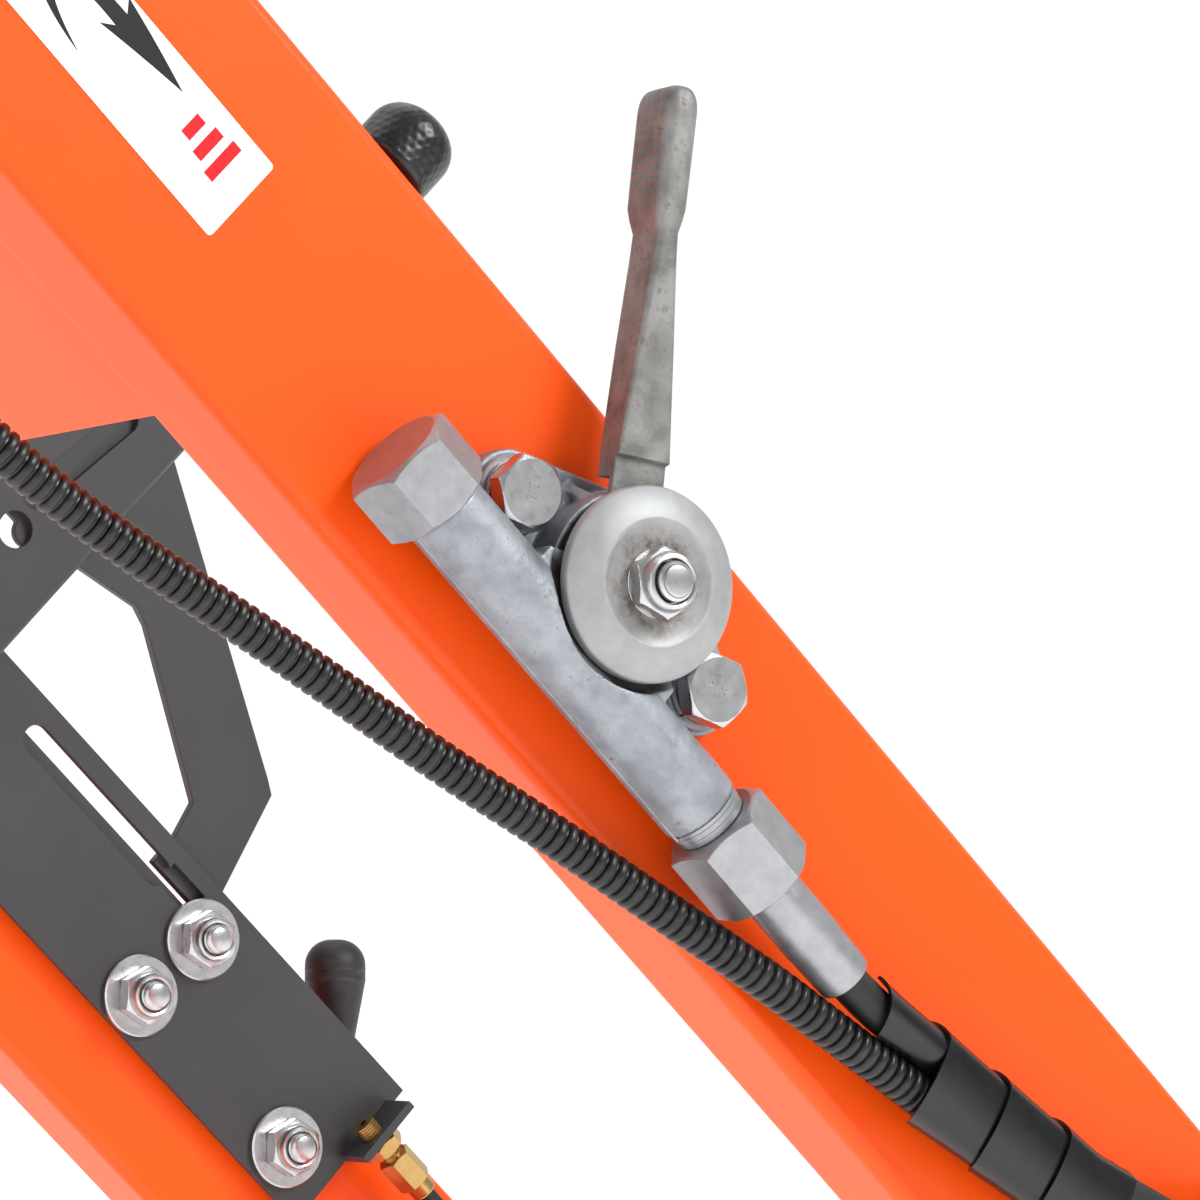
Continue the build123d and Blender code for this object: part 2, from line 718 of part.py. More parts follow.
buffer_s = 237
buffer_h = far_h - leg_depth / 2
upright = Plane(origin=place(buffer_s, edge_w, buffer_h), x_dir=(1, 0, 0), z_dir=(0, 0, 1))
buffer_d = 21
with BuildPart() as post:
    with BuildSketch(upward(buffer_s - 2, edge_w + 0.1, buffer_h)):
        Rectangle(24, 34)
    extrude(amount=3)
    with BuildSketch(upright):
        Circle(5)
    extrude(amount=30)
    with BuildSketch(upward(buffer_s, edge_w + 0.1, buffer_h)):
        Rectangle(60, 60)
    extrude(amount=-20, mode=Mode.SUBTRACT)
export(post, "buffer_post")

with BuildPart() as buffer:
    with BuildSketch(upright.offset(18)):
        Circle(7)
    with BuildSketch(upright.offset(40)):
        Circle(buffer_d / 2)
    loft()
    with BuildSketch(upright.offset(40)):
        Circle(buffer_d / 2)
    extrude(amount=12)
    fillet(buffer.edges().sort_by(Axis.Z)[-1], 9)
    with BuildSketch(upright.offset(10)):
        Circle(5 + seat)
    extrude(amount=20.2, mode=Mode.SUBTRACT)
export(buffer, "rubber_buffer")

# ---------------------------------------------------------------- black brackets on the far leg
clamp_t = plate_t + backing_t
plate_front = far_h + clamp_t + 0.1
plate_left = layout_w - 48.5
plate_right = layout_w + 12
plate_top = 31.5
plate_end = 247
slot_w = layout_w - 0.4
with BuildPart() as slotted:
    with BuildSketch(level(plate_front)):
        with Locations(((plate_top + plate_end) / 2, (plate_left + plate_right) / 2)):
            Rectangle(plate_end - plate_top, plate_right - plate_left)
        with Locations((95, slot_w)):
            SlotOverall(72, 10, mode=Mode.SUBTRACT)
        with Locations((137, slot_w + 2)):
            Rectangle(16, 9, mode=Mode.SUBTRACT)
        with Locations(*far_bolts):
            Circle(bolt_hole_r, mode=Mode.SUBTRACT)
    extrude(amount=-plate_t)
    tab_reach = 16
    with BuildSketch(across(plate_end - plate_t, plate_right - 20, plate_front)):
        with Locations((0, tab_reach / 2)):
            Rectangle(26, tab_reach)
        with Locations((-2.5, tab_reach / 2 + 1)):
            Circle(4.2, mode=Mode.SUBTRACT)
    extrude(amount=plate_t)
export(slotted, "slotted_plate")

with BuildPart() as backing:
    with BuildSketch(level(plate_front - plate_t - 0.05)):
        with Locations(((plate_top + 6 + plate_end - 6) / 2, (plate_left + 2 + layout_w - 0.5) / 2)):
            Rectangle(plate_end - plate_top - 12, layout_w - 0.5 - plate_left - 2)
        with Locations(*far_bolts):
            Circle(bolt_hole_r, mode=Mode.SUBTRACT)
    extrude(amount=-backing_t + 0.05)
export(backing, "backing_plate")

with BuildPart() as brace:
    root = plate_top
    with BuildSketch(level(plate_front - plate_t - 0.05)):
        with BuildLine():
            Polyline((root, layout_w + 52), (60, layout_w + 59), (67, layout_w + 57), (121, layout_w + 27),
                     (124, layout_w + 14), (124, layout_w + 2), (153, layout_w + 2), (150, layout_w + 14),
                     (141, layout_w + 50), (136, layout_w + 53), (root, layout_w + 107), close=True)
        make_face()
    extrude(amount=-backing_t + 0.05)
export(brace, "brace_arm")

bracket_front = far_h + 20
with BuildPart() as stand:
    bracket_left = -22
    stand_low, stand_high = layout_w - 60, layout_w + 150
    with BuildSketch(level(bracket_front)):
        with Locations(((bracket_left + plate_top) / 2, (stand_low + stand_high) / 2)):
            Rectangle(plate_top - bracket_left, stand_high - stand_low)
        with Locations((6, layout_w + 73)):
            SlotOverall(52, 9.5, rotation=83, mode=Mode.SUBTRACT)
        with Locations((6, layout_w + 38.6)):
            Circle(6.2, mode=Mode.SUBTRACT)
        with Locations((4, layout_w - 30), (4, layout_w - 50)):
            Circle(4.3, mode=Mode.SUBTRACT)
    extrude(amount=-plate_t)
    with BuildSketch(level(bracket_front)):
        with Locations((plate_top - plate_t / 2, (stand_low + stand_high) / 2)):
            Rectangle(plate_t, stand_high - stand_low)
    extrude(amount=-20)
    fold = stand.edges().filter_by(Axis(face.origin, face.y_dir)).sort_by(
        lambda e: (e.center() - place(plate_top, 0, bracket_front)).dot(face.x_dir)
        + (e.center() - place(plate_top, 0, bracket_front)).dot(face.z_dir))[-1]
    fillet(fold, 2.8)
export(stand, "stand_bracket")

with BuildPart() as slide:
    with BuildSketch(level(bracket_front - plate_t - 0.1)):
        with Locations((7, layout_w + 74)):
            Rectangle(22, 64)
        with Locations((11, layout_w + 43)):
            Circle(5.5)
    extrude(amount=-3)
export(slide, "slot_strip")

with BuildPart() as spacers:
    with BuildSketch(level(far_h + 0.1)):
        with Locations((4, layout_w - 30), (4, layout_w - 50)):
            Circle(7)
            Circle(4.3, mode=Mode.SUBTRACT)
    extrude(amount=20 - plate_t - 0.2)
export(spacers, "stand_spacers")

with BuildPart() as stand_bolts:
    with BuildSketch(level(bracket_front + 0.1)):
        with Locations((4, layout_w - 30), (4, layout_w - 50)):
            RegularPolygon(flats_radius(13), 6)
    extrude(amount=5.3)
    with BuildSketch(level(bracket_front + 0.1)):
        with Locations((4, layout_w - 30), (4, layout_w - 50)):
            Circle(4)
    extrude(amount=-20)
export(stand_bolts, "stand_bolts")

with BuildPart() as large_washers:
    with BuildSketch(level(plate_front + 0.05)):
        with Locations(*far_bolts):
            Circle(large_washer_d / 2)
            Circle(bolt_hole_r, mode=Mode.SUBTRACT)
    extrude(amount=large_washer_t)
export(large_washers, "plate_washers")

with BuildPart() as plate_nuts:
    with BuildSketch(level(plate_front + 0.05 + large_washer_t)):
        with Locations(*far_bolts):
            RegularPolygon(flats_radius(plate_nut_flats), 6, rotation=12)
            Circle(bolt_d / 2 + seat, mode=Mode.SUBTRACT)
    extrude(amount=6.5)
    with BuildSketch(level(plate_front + 0.05 + large_washer_t)):
        with Locations(*far_bolts):
            Circle(7.3)
            Circle(bolt_d / 2 + seat, mode=Mode.SUBTRACT)
    extrude(amount=plate_nut_t)
export(plate_nuts, "plate_nuts")

with BuildPart() as plate_studs:
    stud_out = plate_front + large_washer_t + plate_nut_t + 2.5
    with BuildSketch(level(stud_out)):
        with Locations(*far_bolts):
            Circle(bolt_d / 2)
    extrude(amount=-(stud_out - far_h + leg_wall + 2))
export(plate_studs, "plate_studs")

# ---------------------------------------------------------------- throttle cable in its brass adjuster
cable_w = plate_right - 22.5
cable_h = plate_front + tab_reach / 2 + 1
cable_d = 6
cable_seat = 4.8          # depth of the sheath in the adjuster's end


def turned(name, s0, stations, hole, seat_depth=0.0):
    """Piece turned about the cable's axis: each station is (start, length, size, hexagon?)."""
    with BuildPart() as piece:
        for first, length, size, six_sided in stations:
            with BuildSketch(across(s0 + first, cable_w, cable_h)):
                if six_sided:
                    RegularPolygon(flats_radius(size), 6, rotation=10)
                else:
                    Circle(size / 2)
            extrude(amount=length)
        with BuildSketch(across(s0 - 20, cable_w, cable_h)):
            Circle(hole / 2)
        extrude(amount=80, mode=Mode.SUBTRACT)
        if seat_depth:
            last = s0 + stations[-1][0] + stations[-1][1]
            with BuildSketch(across(last, cable_w, cable_h)):
                Circle(cable_d / 2 + seat)
            extrude(amount=-seat_depth, mode=Mode.SUBTRACT)
    export(piece, name)


turned("adjuster_lock_nut", plate_end + 0.1, [(0, 5, 13, True)], 8.1)
turned("cable_adjuster", plate_end, [(-8, 16.2, 8, False), (8, 13, 11, True), (21, 5, 9, False)], 3.2, cable_seat)
cable_start = plate_end + 26.1 - cable_seat
cable_end = (cable_start + 37, cable_w - 1.2, cable_h - 1.6)
cable_route = [(cable_start, cable_w, cable_h), (cable_start + 18, cable_w, cable_h - 0.3), cable_end]
cord(cable_route, cable_d, "throttle_cable")
with BuildPart() as cable_clip:
    clip_end = Plane(origin=place(*cable_route[-1]), x_dir=face.y_dir,
                     z_dir=place(*cable_route[-1]) - place(*cable_route[-2]))
    with BuildSketch(clip_end.offset(0.1)):
        Circle(6)
    extrude(amount=9)
    foot = cable_end[2] - far_h
    with BuildSketch(across(cable_end[0] + 1.5, cable_end[1], cable_end[2])):
        with Locations((0, 0.05 - foot / 2)):
            Rectangle(8, foot)
    extrude(amount=6)
export(cable_clip, "cable_anchor")

# ---------------------------------------------------------------- direction label
label_t = 0.3
label_length = 84
label_width = 25.5
label_end = -135          # s of its lower end
with BuildPart() as label:
    with BuildSketch(level(0.05)):
        with Locations((label_end - label_length / 2, layout_w - 38)):
            RectangleRounded(label_length, label_width, 1)
    extrude(amount=label_t)
export(label, "direction_label")
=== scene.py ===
"""Looks of a plate compactor's guide handle with its hydraulic hand pump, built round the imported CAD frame.

Shapes are drawn in millimetres in the leg's own directions: s down the leg, w across its face towards the
hand lever, and h straight out of the face, all from the pump pinion's axis on the near leg's outer face.
"""
import json
from math import atan2, cos, floor, pi, radians, sin, sqrt, tan

import bmesh
import bpy
from mathutils import Matrix, Vector, noise

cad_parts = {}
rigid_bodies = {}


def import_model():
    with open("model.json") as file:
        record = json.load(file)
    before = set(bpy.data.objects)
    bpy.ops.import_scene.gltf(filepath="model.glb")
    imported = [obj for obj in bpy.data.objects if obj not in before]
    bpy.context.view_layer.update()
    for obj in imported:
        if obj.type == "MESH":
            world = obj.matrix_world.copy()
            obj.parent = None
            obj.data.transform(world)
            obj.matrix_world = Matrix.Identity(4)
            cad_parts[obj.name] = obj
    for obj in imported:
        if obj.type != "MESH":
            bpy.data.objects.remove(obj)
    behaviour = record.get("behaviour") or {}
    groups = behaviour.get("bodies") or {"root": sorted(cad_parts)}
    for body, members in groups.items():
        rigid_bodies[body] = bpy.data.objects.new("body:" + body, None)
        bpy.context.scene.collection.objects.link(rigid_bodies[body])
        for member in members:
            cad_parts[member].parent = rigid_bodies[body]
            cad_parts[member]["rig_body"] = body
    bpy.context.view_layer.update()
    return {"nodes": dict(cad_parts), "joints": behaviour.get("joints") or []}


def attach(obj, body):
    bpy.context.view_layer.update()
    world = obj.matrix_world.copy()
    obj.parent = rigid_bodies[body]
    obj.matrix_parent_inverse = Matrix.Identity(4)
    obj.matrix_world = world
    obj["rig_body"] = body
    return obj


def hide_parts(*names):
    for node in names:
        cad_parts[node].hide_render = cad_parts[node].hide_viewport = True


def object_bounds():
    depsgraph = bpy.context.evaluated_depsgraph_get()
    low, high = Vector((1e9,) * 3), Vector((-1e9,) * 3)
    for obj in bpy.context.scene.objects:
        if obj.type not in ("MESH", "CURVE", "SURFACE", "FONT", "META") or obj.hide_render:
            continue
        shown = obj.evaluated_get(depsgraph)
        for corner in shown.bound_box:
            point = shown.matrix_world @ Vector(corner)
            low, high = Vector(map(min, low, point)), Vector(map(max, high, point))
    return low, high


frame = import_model()
MM = 0.001

# ------------ the leg's directions
joints = {joint["name"]: joint for joint in frame["joints"]}
DOWN = Vector(joints["rack_slide"]["axis"])
SLANT = Vector(joints["knob_turn"]["axis"])
OUT = Vector(joints["lever_turn"]["axis"])
PINION = Vector(joints["lever_turn"]["pos_m"])


def on_leg(s, w, h):
    """Point in the row frame, in metres, from its place on the leg in millimetres."""
    return PINION + (DOWN * s + SLANT * w + OUT * h) * MM


def standing(s, w, h, facing="h", turn=0.0):
    """Placement of a shape whose own z axis points along h, s or w of the leg, turned about that axis."""
    x, y, z = {"h": (DOWN, SLANT, OUT), "s": (SLANT, OUT, DOWN), "w": (OUT, DOWN, SLANT)}[facing]
    turned_x = x * cos(radians(turn)) + y * sin(radians(turn))
    turned_y = z.cross(turned_x)
    place = Matrix((turned_x * MM, turned_y * MM, z * MM)).transposed().to_4x4()
    place.translation = on_leg(s, w, h)
    return place


# ------------ sizes shared with the frame (mm)
EDGE = 35.2               # w of the legs' upper edges
LAYOUT = 33               # w of the line that the label and the far leg's brackets are set out from
FAR = -455                # h of the far leg's face
TUBE_W, TUBE_H = -24.8, 15.0
TUBE_D = 21.2
TUBE_TOP = -51
PUMP_BOLTS = {"upper": (-36, -4), "lower": (36, 0)}     # (s, w)
WASHER_H = 6.05           # under the pump bolts' flat washers
HEAD_H = 10.25            # under their heads
LEVER_TURN = 126.0        # direction of the lever, from down the leg towards w
PLATE_FRONT = FAR + 7.1
PLATE_BOLTS = [(154, LAYOUT - 5.4), (150, LAYOUT - 35), (226, LAYOUT - 33.5)]
CONDUIT_D = 10.7
HOSE_D = 10.4
CABLE_D = 6.0
LINE_END = 238

hose_route = [(108.6, TUBE_W, TUBE_H), (123, TUBE_W, TUBE_H), (142, -20.3, 13.2), (168, -15.2, 12.4),
              (205, -8.0, 12.0), (LINE_END, 3.5, 12.0)]
conduit_route = [(-236, -88, -10), (-206, -91, -9), (-176, -94, -7.5), (-148, -93.5, -6),
                 (-120, -90.5, -4.5), (-91, -84.2, -3), (-49, -73.9, 0), (-4, -65.0, 4.5),
                 (33, -55.8, 8.5), (66, -48.6, 11.5), (96, -41.3, 13.0), (122, -36.0, 13.2),
                 (144, -31.2, 12.8), (168, -26.2, 12.2), (205, -18.9, 12.0), (LINE_END, -12.5, 12.0)]
cable_route = [(268.3, 22.5, -438.9), (286.3, 22.5, -439.2), (305.3, 21.3, -440.5)]


# ------------ material helpers
def linear(code):
    """Linear RGBA of an sRGB hex colour."""
    parts = [int(code[k:k + 2], 16) / 255 for k in (1, 3, 5)]
    return tuple(c / 12.92 if c <= 0.04045 else ((c + 0.055) / 1.055) ** 2.4 for c in parts) + (1.0,)


def add(tree, kind, settings=None, links=None):
    """Adds a node with its settings, and its inputs from values or from other nodes' outputs."""
    made = tree.nodes.new("ShaderNode" + kind)
    for name, value in (settings or {}).items():
        setattr(made, name, value)
    for name, value in (links or {}).items():
        socket = made.inputs[name]
        if isinstance(value, bpy.types.NodeSocket):
            tree.links.new(value, socket)
        else:
            socket.default_value = value
    return made


def started(name, sockets):
    """New material with constant values on its shader: its tree, the shader and the place in metres."""
    material = bpy.data.materials.new(name)
    material.use_nodes = True
    tree = material.node_tree
    shader = tree.nodes["Principled BSDF"]
    for socket, value in sockets.items():
        shader.inputs[socket].default_value = value
    place = add(tree, "TexCoord").outputs["Object"]
    return material, tree, shader, place


FACTOR, COLOUR_A, COLOUR_B, COLOUR_OUT = 0, 6, 7, 2     # the Mix node's sockets for colours


def wired(tree, shader, colour, sheen, bump):
    """Feeds the shader's colour, roughness and normal."""
    tree.links.new(colour.outputs[COLOUR_OUT], shader.inputs["Base Color"])
    tree.links.new(sheen.outputs["Result"], shader.inputs["Roughness"])
    tree.links.new(bump.outputs["Normal"], shader.inputs["Normal"])


# ------------ materials
def powder_coated_orange():
    """Steel with glossy orange powder coat: saturated, wet-looking gloss over a faint orange peel."""
    material, tree, shader, place = started("glossy_powder_coat_orange", {
        "Roughness": 0.45, "Specular IOR Level": 0.25, "Coat Weight": 0.14, "Coat Roughness": 0.05})
    drift = add(tree, "TexNoise", None, {"Vector": place, "Scale": 1 / (90 * MM), "Detail": 2})
    colour = add(tree, "Mix", {"data_type": "RGBA"}, {
        FACTOR: drift.outputs["Fac"], COLOUR_A: linear("#FF4C00"), COLOUR_B: linear("#FF5A00")})
    peel = add(tree, "TexNoise", None, {"Vector": place, "Scale": 1 / (2.2 * MM), "Detail": 1})
    bump = add(tree, "Bump", None, {"Height": peel.outputs["Fac"], "Strength": 0.12, "Distance": 0.05 * MM})
    tree.links.new(colour.outputs[COLOUR_OUT], shader.inputs["Base Color"])
    tree.links.new(bump.outputs["Normal"], shader.inputs["Normal"])
    tree.links.new(bump.outputs["Normal"], shader.inputs["Coat Normal"])
    return material


def powder_coated_black():
    """Sheet steel with fine-textured black powder coat: a grey sheen that breaks up over a tight grain."""
    material, tree, shader, place = started("textured_powder_coat_black", {"IOR": 1.5})
    grain = add(tree, "TexNoise", None, {"Vector": place, "Scale": 1 / (0.6 * MM), "Detail": 4})
    cloud = add(tree, "TexNoise", None, {"Vector": place, "Scale": 1 / (35 * MM), "Detail": 3})
    colour = add(tree, "Mix", {"data_type": "RGBA"}, {
        FACTOR: cloud.outputs["Fac"], COLOUR_A: linear("#2E2F31"), COLOUR_B: linear("#3D3E40")})
    sheen = add(tree, "MapRange", None, {"Value": grain.outputs["Fac"], "To Min": 0.38, "To Max": 0.52})
    bump = add(tree, "Bump", None, {"Height": grain.outputs["Fac"], "Strength": 0.3, "Distance": 0.08 * MM})
    wired(tree, shader, colour, sheen, bump)
    return material


def pinion_distance(tree, place):
    """Distance from the pump pinion's axis, in metres."""
    away = add(tree, "VectorMath", {"operation": "SUBTRACT"}, {0: place, 1: PINION})
    across = add(tree, "VectorMath", {"operation": "CROSS_PRODUCT"}, {0: away.outputs["Vector"], 1: OUT})
    return add(tree, "VectorMath", {"operation": "LENGTH"}, {0: across.outputs["Vector"]}).outputs["Value"]


def cast_aluminium(name, light, dark, stain, grit_mm, stain_at, metal=0.75):
    """Cast aluminium alloy: dull, cloudy grey with a gritty skin and brown rust dust off the steel."""
    material, tree, shader, place = started(name, {"Metallic": metal})
    cloud = add(tree, "TexNoise", None, {
        "Vector": place, "Scale": 1 / (9 * MM), "Detail": 5, "Roughness": 0.62})
    patches = add(tree, "MapRange", None, {"Value": cloud.outputs["Fac"], "From Min": 0.36, "From Max": 0.64})
    base = add(tree, "Mix", {"data_type": "RGBA"}, {
        FACTOR: patches.outputs["Result"], COLOUR_A: linear(dark), COLOUR_B: linear(light)})
    specks = add(tree, "TexNoise", None, {
        "Vector": place, "Scale": 1 / (4.5 * MM), "Detail": 9, "Roughness": 0.72})
    rust = add(tree, "MapRange", None, {
        "Value": specks.outputs["Fac"], "From Min": stain_at, "From Max": stain_at + 0.12, "To Max": 0.7})
    stained = add(tree, "Mix", {"data_type": "RGBA"}, {
        FACTOR: rust.outputs["Result"], COLOUR_A: base.outputs[COLOUR_OUT], COLOUR_B: linear(stain)})
    grit = add(tree, "TexNoise", None, {"Vector": place, "Scale": 1 / (grit_mm * MM), "Detail": 3})
    sheen = add(tree, "MapRange", None, {"Value": cloud.outputs["Fac"], "To Min": 0.42, "To Max": 0.62})
    bump = add(tree, "Bump", None, {"Height": grit.outputs["Fac"], "Strength": 0.5, "Distance": 0.2 * MM})
    wired(tree, shader, stained, sheen, bump)
    return material, tree, shader, place, stained


def pump_casting_aluminium():
    """The pump's casting: blue-grey, with near-black painted shade in the recess round the turning disc, and
    painted shade in its creases.
    """
    material, tree, shader, place, stained = cast_aluminium(
        "sand_cast_aluminium", "#A6A9AF", "#888C93", "#5B4A3C", 0.7, 0.58)
    distance = pinion_distance(tree, place)
    # Painted shade: near-black colour in the casting's recess round the turning disc, on the tube's side,
    # masked by distance from the pinion's axis.
    inside = add(tree, "MapRange", None, {
        "Value": distance, "From Min": 27.3 * MM, "From Max": 26.6 * MM, "To Max": 0.95})
    away = add(tree, "VectorMath", {"operation": "SUBTRACT"}, {0: place, 1: PINION})
    towards_tube = add(tree, "VectorMath", {"operation": "DOT_PRODUCT"}, {
        0: away.outputs["Vector"], 1: -SLANT})
    tube_side = add(tree, "MapRange", None, {
        "Value": towards_tube.outputs["Value"], "From Min": 8 * MM, "From Max": 14 * MM})
    painted_recess_shade = add(tree, "Math", {"operation": "MULTIPLY"}, {
        0: inside.outputs["Result"], 1: tube_side.outputs["Result"]})
    # Painted shade: the casting's concave creases, found by pointiness, darkened towards brown.
    pointed = add(tree, "NewGeometry").outputs["Pointiness"]
    painted_crease_shade = add(tree, "MapRange", None, {
        "Value": pointed, "From Min": 0.475, "From Max": 0.43, "To Max": 0.7})
    with_crease_shade = add(tree, "Mix", {"data_type": "RGBA"}, {
        FACTOR: painted_crease_shade.outputs["Result"], COLOUR_A: stained.outputs[COLOUR_OUT],
        COLOUR_B: linear("#4A4038")})
    with_recess_shade = add(tree, "Mix", {"data_type": "RGBA"}, {
        FACTOR: painted_recess_shade.outputs["Value"], COLOUR_A: with_crease_shade.outputs[COLOUR_OUT], COLOUR_B: linear("#231D18")})
    tree.links.new(with_recess_shade.outputs[COLOUR_OUT], shader.inputs["Base Color"])
    return material


def lever_aluminium():
    """The hand lever's die casting: warmer grey than the pump, pitted, with brown hand dirt."""
    return cast_aluminium("die_cast_aluminium", "#8F8F8D", "#6A6A67", "#5E4A3D", 0.9, 0.55, 0.45)[0]


def turned_disc_steel():
    """Turned and zinc-plated disc: satin, slightly clouded, with rust bled round its nut."""
    material, tree, shader, place = started("turned_zinc_plated_disc", {"Metallic": 0.55})
    cloud = add(tree, "TexNoise", None, {
        "Vector": place, "Scale": 1 / (6 * MM), "Detail": 5, "Roughness": 0.6})
    base = add(tree, "Mix", {"data_type": "RGBA"}, {
        FACTOR: cloud.outputs["Fac"], COLOUR_A: linear("#8A8C8E"), COLOUR_B: linear("#B2B3B4")})
    distance = pinion_distance(tree, place)
    pan = add(tree, "MapRange", None, {
        "Value": distance, "From Min": 15.4 * MM, "From Max": 10.0 * MM, "To Max": 1.0})
    specks = add(tree, "TexNoise", None, {
        "Vector": place, "Scale": 1 / (4 * MM), "Detail": 9, "Roughness": 0.72})
    rust = add(tree, "MapRange", None, {
        "Value": specks.outputs["Fac"], "From Min": 0.44, "From Max": 0.62, "To Max": 0.85})
    stain = add(tree, "Math", {"operation": "MULTIPLY"}, {
        0: pan.outputs["Result"], 1: rust.outputs["Result"]})
    dulled = add(tree, "Mix", {"data_type": "RGBA"}, {
        FACTOR: pan.outputs["Result"], COLOUR_A: base.outputs[COLOUR_OUT], COLOUR_B: linear("#928F8B")})
    stained = add(tree, "Mix", {"data_type": "RGBA"}, {
        FACTOR: stain.outputs["Value"], COLOUR_A: dulled.outputs[COLOUR_OUT], COLOUR_B: linear("#4F3D31")})
    sheen = add(tree, "MapRange", None, {"Value": cloud.outputs["Fac"], "To Min": 0.44, "To Max": 0.62})
    bump = add(tree, "Bump", None, {"Height": specks.outputs["Fac"], "Strength": 0.3, "Distance": 0.12 * MM})
    wired(tree, shader, stained, sheen, bump)
    return material


def plated_steel(name, light, dark, rough, spot_mm=4.0, metal=1.0):
    """Zinc-plated forged or turned steel: bright and slightly wavy, with duller spots in the plating."""
    material, tree, shader, place = started(name, {"Metallic": metal})
    spots = add(tree, "TexNoise", None, {
        "Vector": place, "Scale": 1 / (spot_mm * MM), "Detail": 6, "Roughness": 0.6})
    colour = add(tree, "Mix", {"data_type": "RGBA"}, {
        FACTOR: spots.outputs["Fac"], COLOUR_A: linear(dark), COLOUR_B: linear(light)})
    sheen = add(tree, "MapRange", None, {
        "Value": spots.outputs["Fac"], "To Min": rough - 0.06, "To Max": rough + 0.1})
    scuff = add(tree, "TexNoise", None, {"Vector": place, "Scale": 1 / (0.8 * MM), "Detail": 3})
    bump = add(tree, "Bump", None, {"Height": scuff.outputs["Fac"], "Strength": 0.3, "Distance": 0.08 * MM})
    wired(tree, shader, colour, sheen, bump)
    return material


def moulded_black(name, dark, dusty, rough, grain_mm, bumpiness):
    """Black rubber or plastic: near black, with a dusty grey film that dulls its gloss in patches."""
    material, tree, shader, place = started(name, {"IOR": 1.5})
    dust = add(tree, "TexNoise", None, {
        "Vector": place, "Scale": 1 / (7 * MM), "Detail": 7, "Roughness": 0.68})
    film = add(tree, "MapRange", None, {"Value": dust.outputs["Fac"], "From Min": 0.42, "From Max": 0.72})
    colour = add(tree, "Mix", {"data_type": "RGBA"}, {
        FACTOR: film.outputs["Result"], COLOUR_A: linear(dark), COLOUR_B: linear(dusty)})
    sheen = add(tree, "MapRange", None, {
        "Value": dust.outputs["Fac"], "To Min": rough - 0.07, "To Max": rough + 0.12})
    grain = add(tree, "TexNoise", None, {"Vector": place, "Scale": 1 / (grain_mm * MM), "Detail": 3})
    bump = add(tree, "Bump", None, {
        "Height": grain.outputs["Fac"], "Strength": bumpiness, "Distance": 0.06 * MM})
    wired(tree, shader, colour, sheen, bump)
    return material


def printed_film(name, colour, worn):
    """Vinyl label film: smooth and evenly coloured, faintly mottled where it has been rubbed."""
    material, tree, shader, place = started(name, {"Roughness": 0.3, "IOR": 1.46})
    rub = add(tree, "TexNoise", None, {"Vector": place, "Scale": 1 / (12 * MM), "Detail": 4})
    mixed = add(tree, "Mix", {"data_type": "RGBA"}, {
        FACTOR: rub.outputs["Fac"], COLOUR_A: linear(colour), COLOUR_B: linear(worn)})
    tree.links.new(mixed.outputs[COLOUR_OUT], shader.inputs["Base Color"])
    return material


orange_paint = powder_coated_orange()
black_paint = powder_coated_black()
pump_alloy = pump_casting_aluminium()
lever_alloy = lever_aluminium()
disc_steel = turned_disc_steel()
bright_zinc = plated_steel("bright_zinc_plated_steel", "#D6D6D7", "#A3A4A6", 0.27)
dull_zinc = plated_steel("dull_zinc_plated_steel", "#B5B6B9", "#85878B", 0.4, 5.0, 0.8)
gear_steel = plated_steel("hobbed_gear_steel", "#8E8E90", "#6C6C6E", 0.35)
brass = plated_steel("turned_brass", "#CDB076", "#A98A4C", 0.3)
hose_rubber = moulded_black("moulded_hose_rubber", "#0E0E0E", "#222120", 0.5, 0.5, 0.3)
conduit_nylon = moulded_black("corrugated_nylon", "#0C0C0C", "#282625", 0.34, 0.9, 0.15)
wrap_plastic = moulded_black("spiral_wrap_polyethylene", "#040404", "#0B0B0B", 0.26, 1.4, 0.08)
knob_plastic = moulded_black("moulded_phenolic", "#101010", "#262626", 0.27, 1.0, 0.08)
buffer_rubber = moulded_black("moulded_buffer_rubber", "#1B1B1C", "#303031", 0.5, 0.7, 0.3)
plug_plastic = moulded_black("moulded_plug_plastic", "#1C1C1D", "#2C2C2D", 0.45, 0.8, 0.2)
white_film = printed_film("white_vinyl_label", "#F4F4F2", "#FAFAF9")
black_ink = printed_film("black_label_ink", "#121212", "#1C1B1A")
red_ink = printed_film("red_label_ink", "#D8141E", "#C9121B")


# ------------ shape helpers
IN_PLACE = Matrix.Identity(4)


def placed(name, data):
    """Puts a new object in the scene."""
    made = bpy.data.objects.new(name, data)
    bpy.context.scene.collection.objects.link(made)
    return made


def mesh_of(data):
    """Mesh that a curve or a text makes."""
    holder = placed("holder", data)
    bpy.context.view_layer.update()
    mesh = bpy.data.meshes.new_from_object(holder)
    bpy.data.objects.remove(holder)
    return mesh


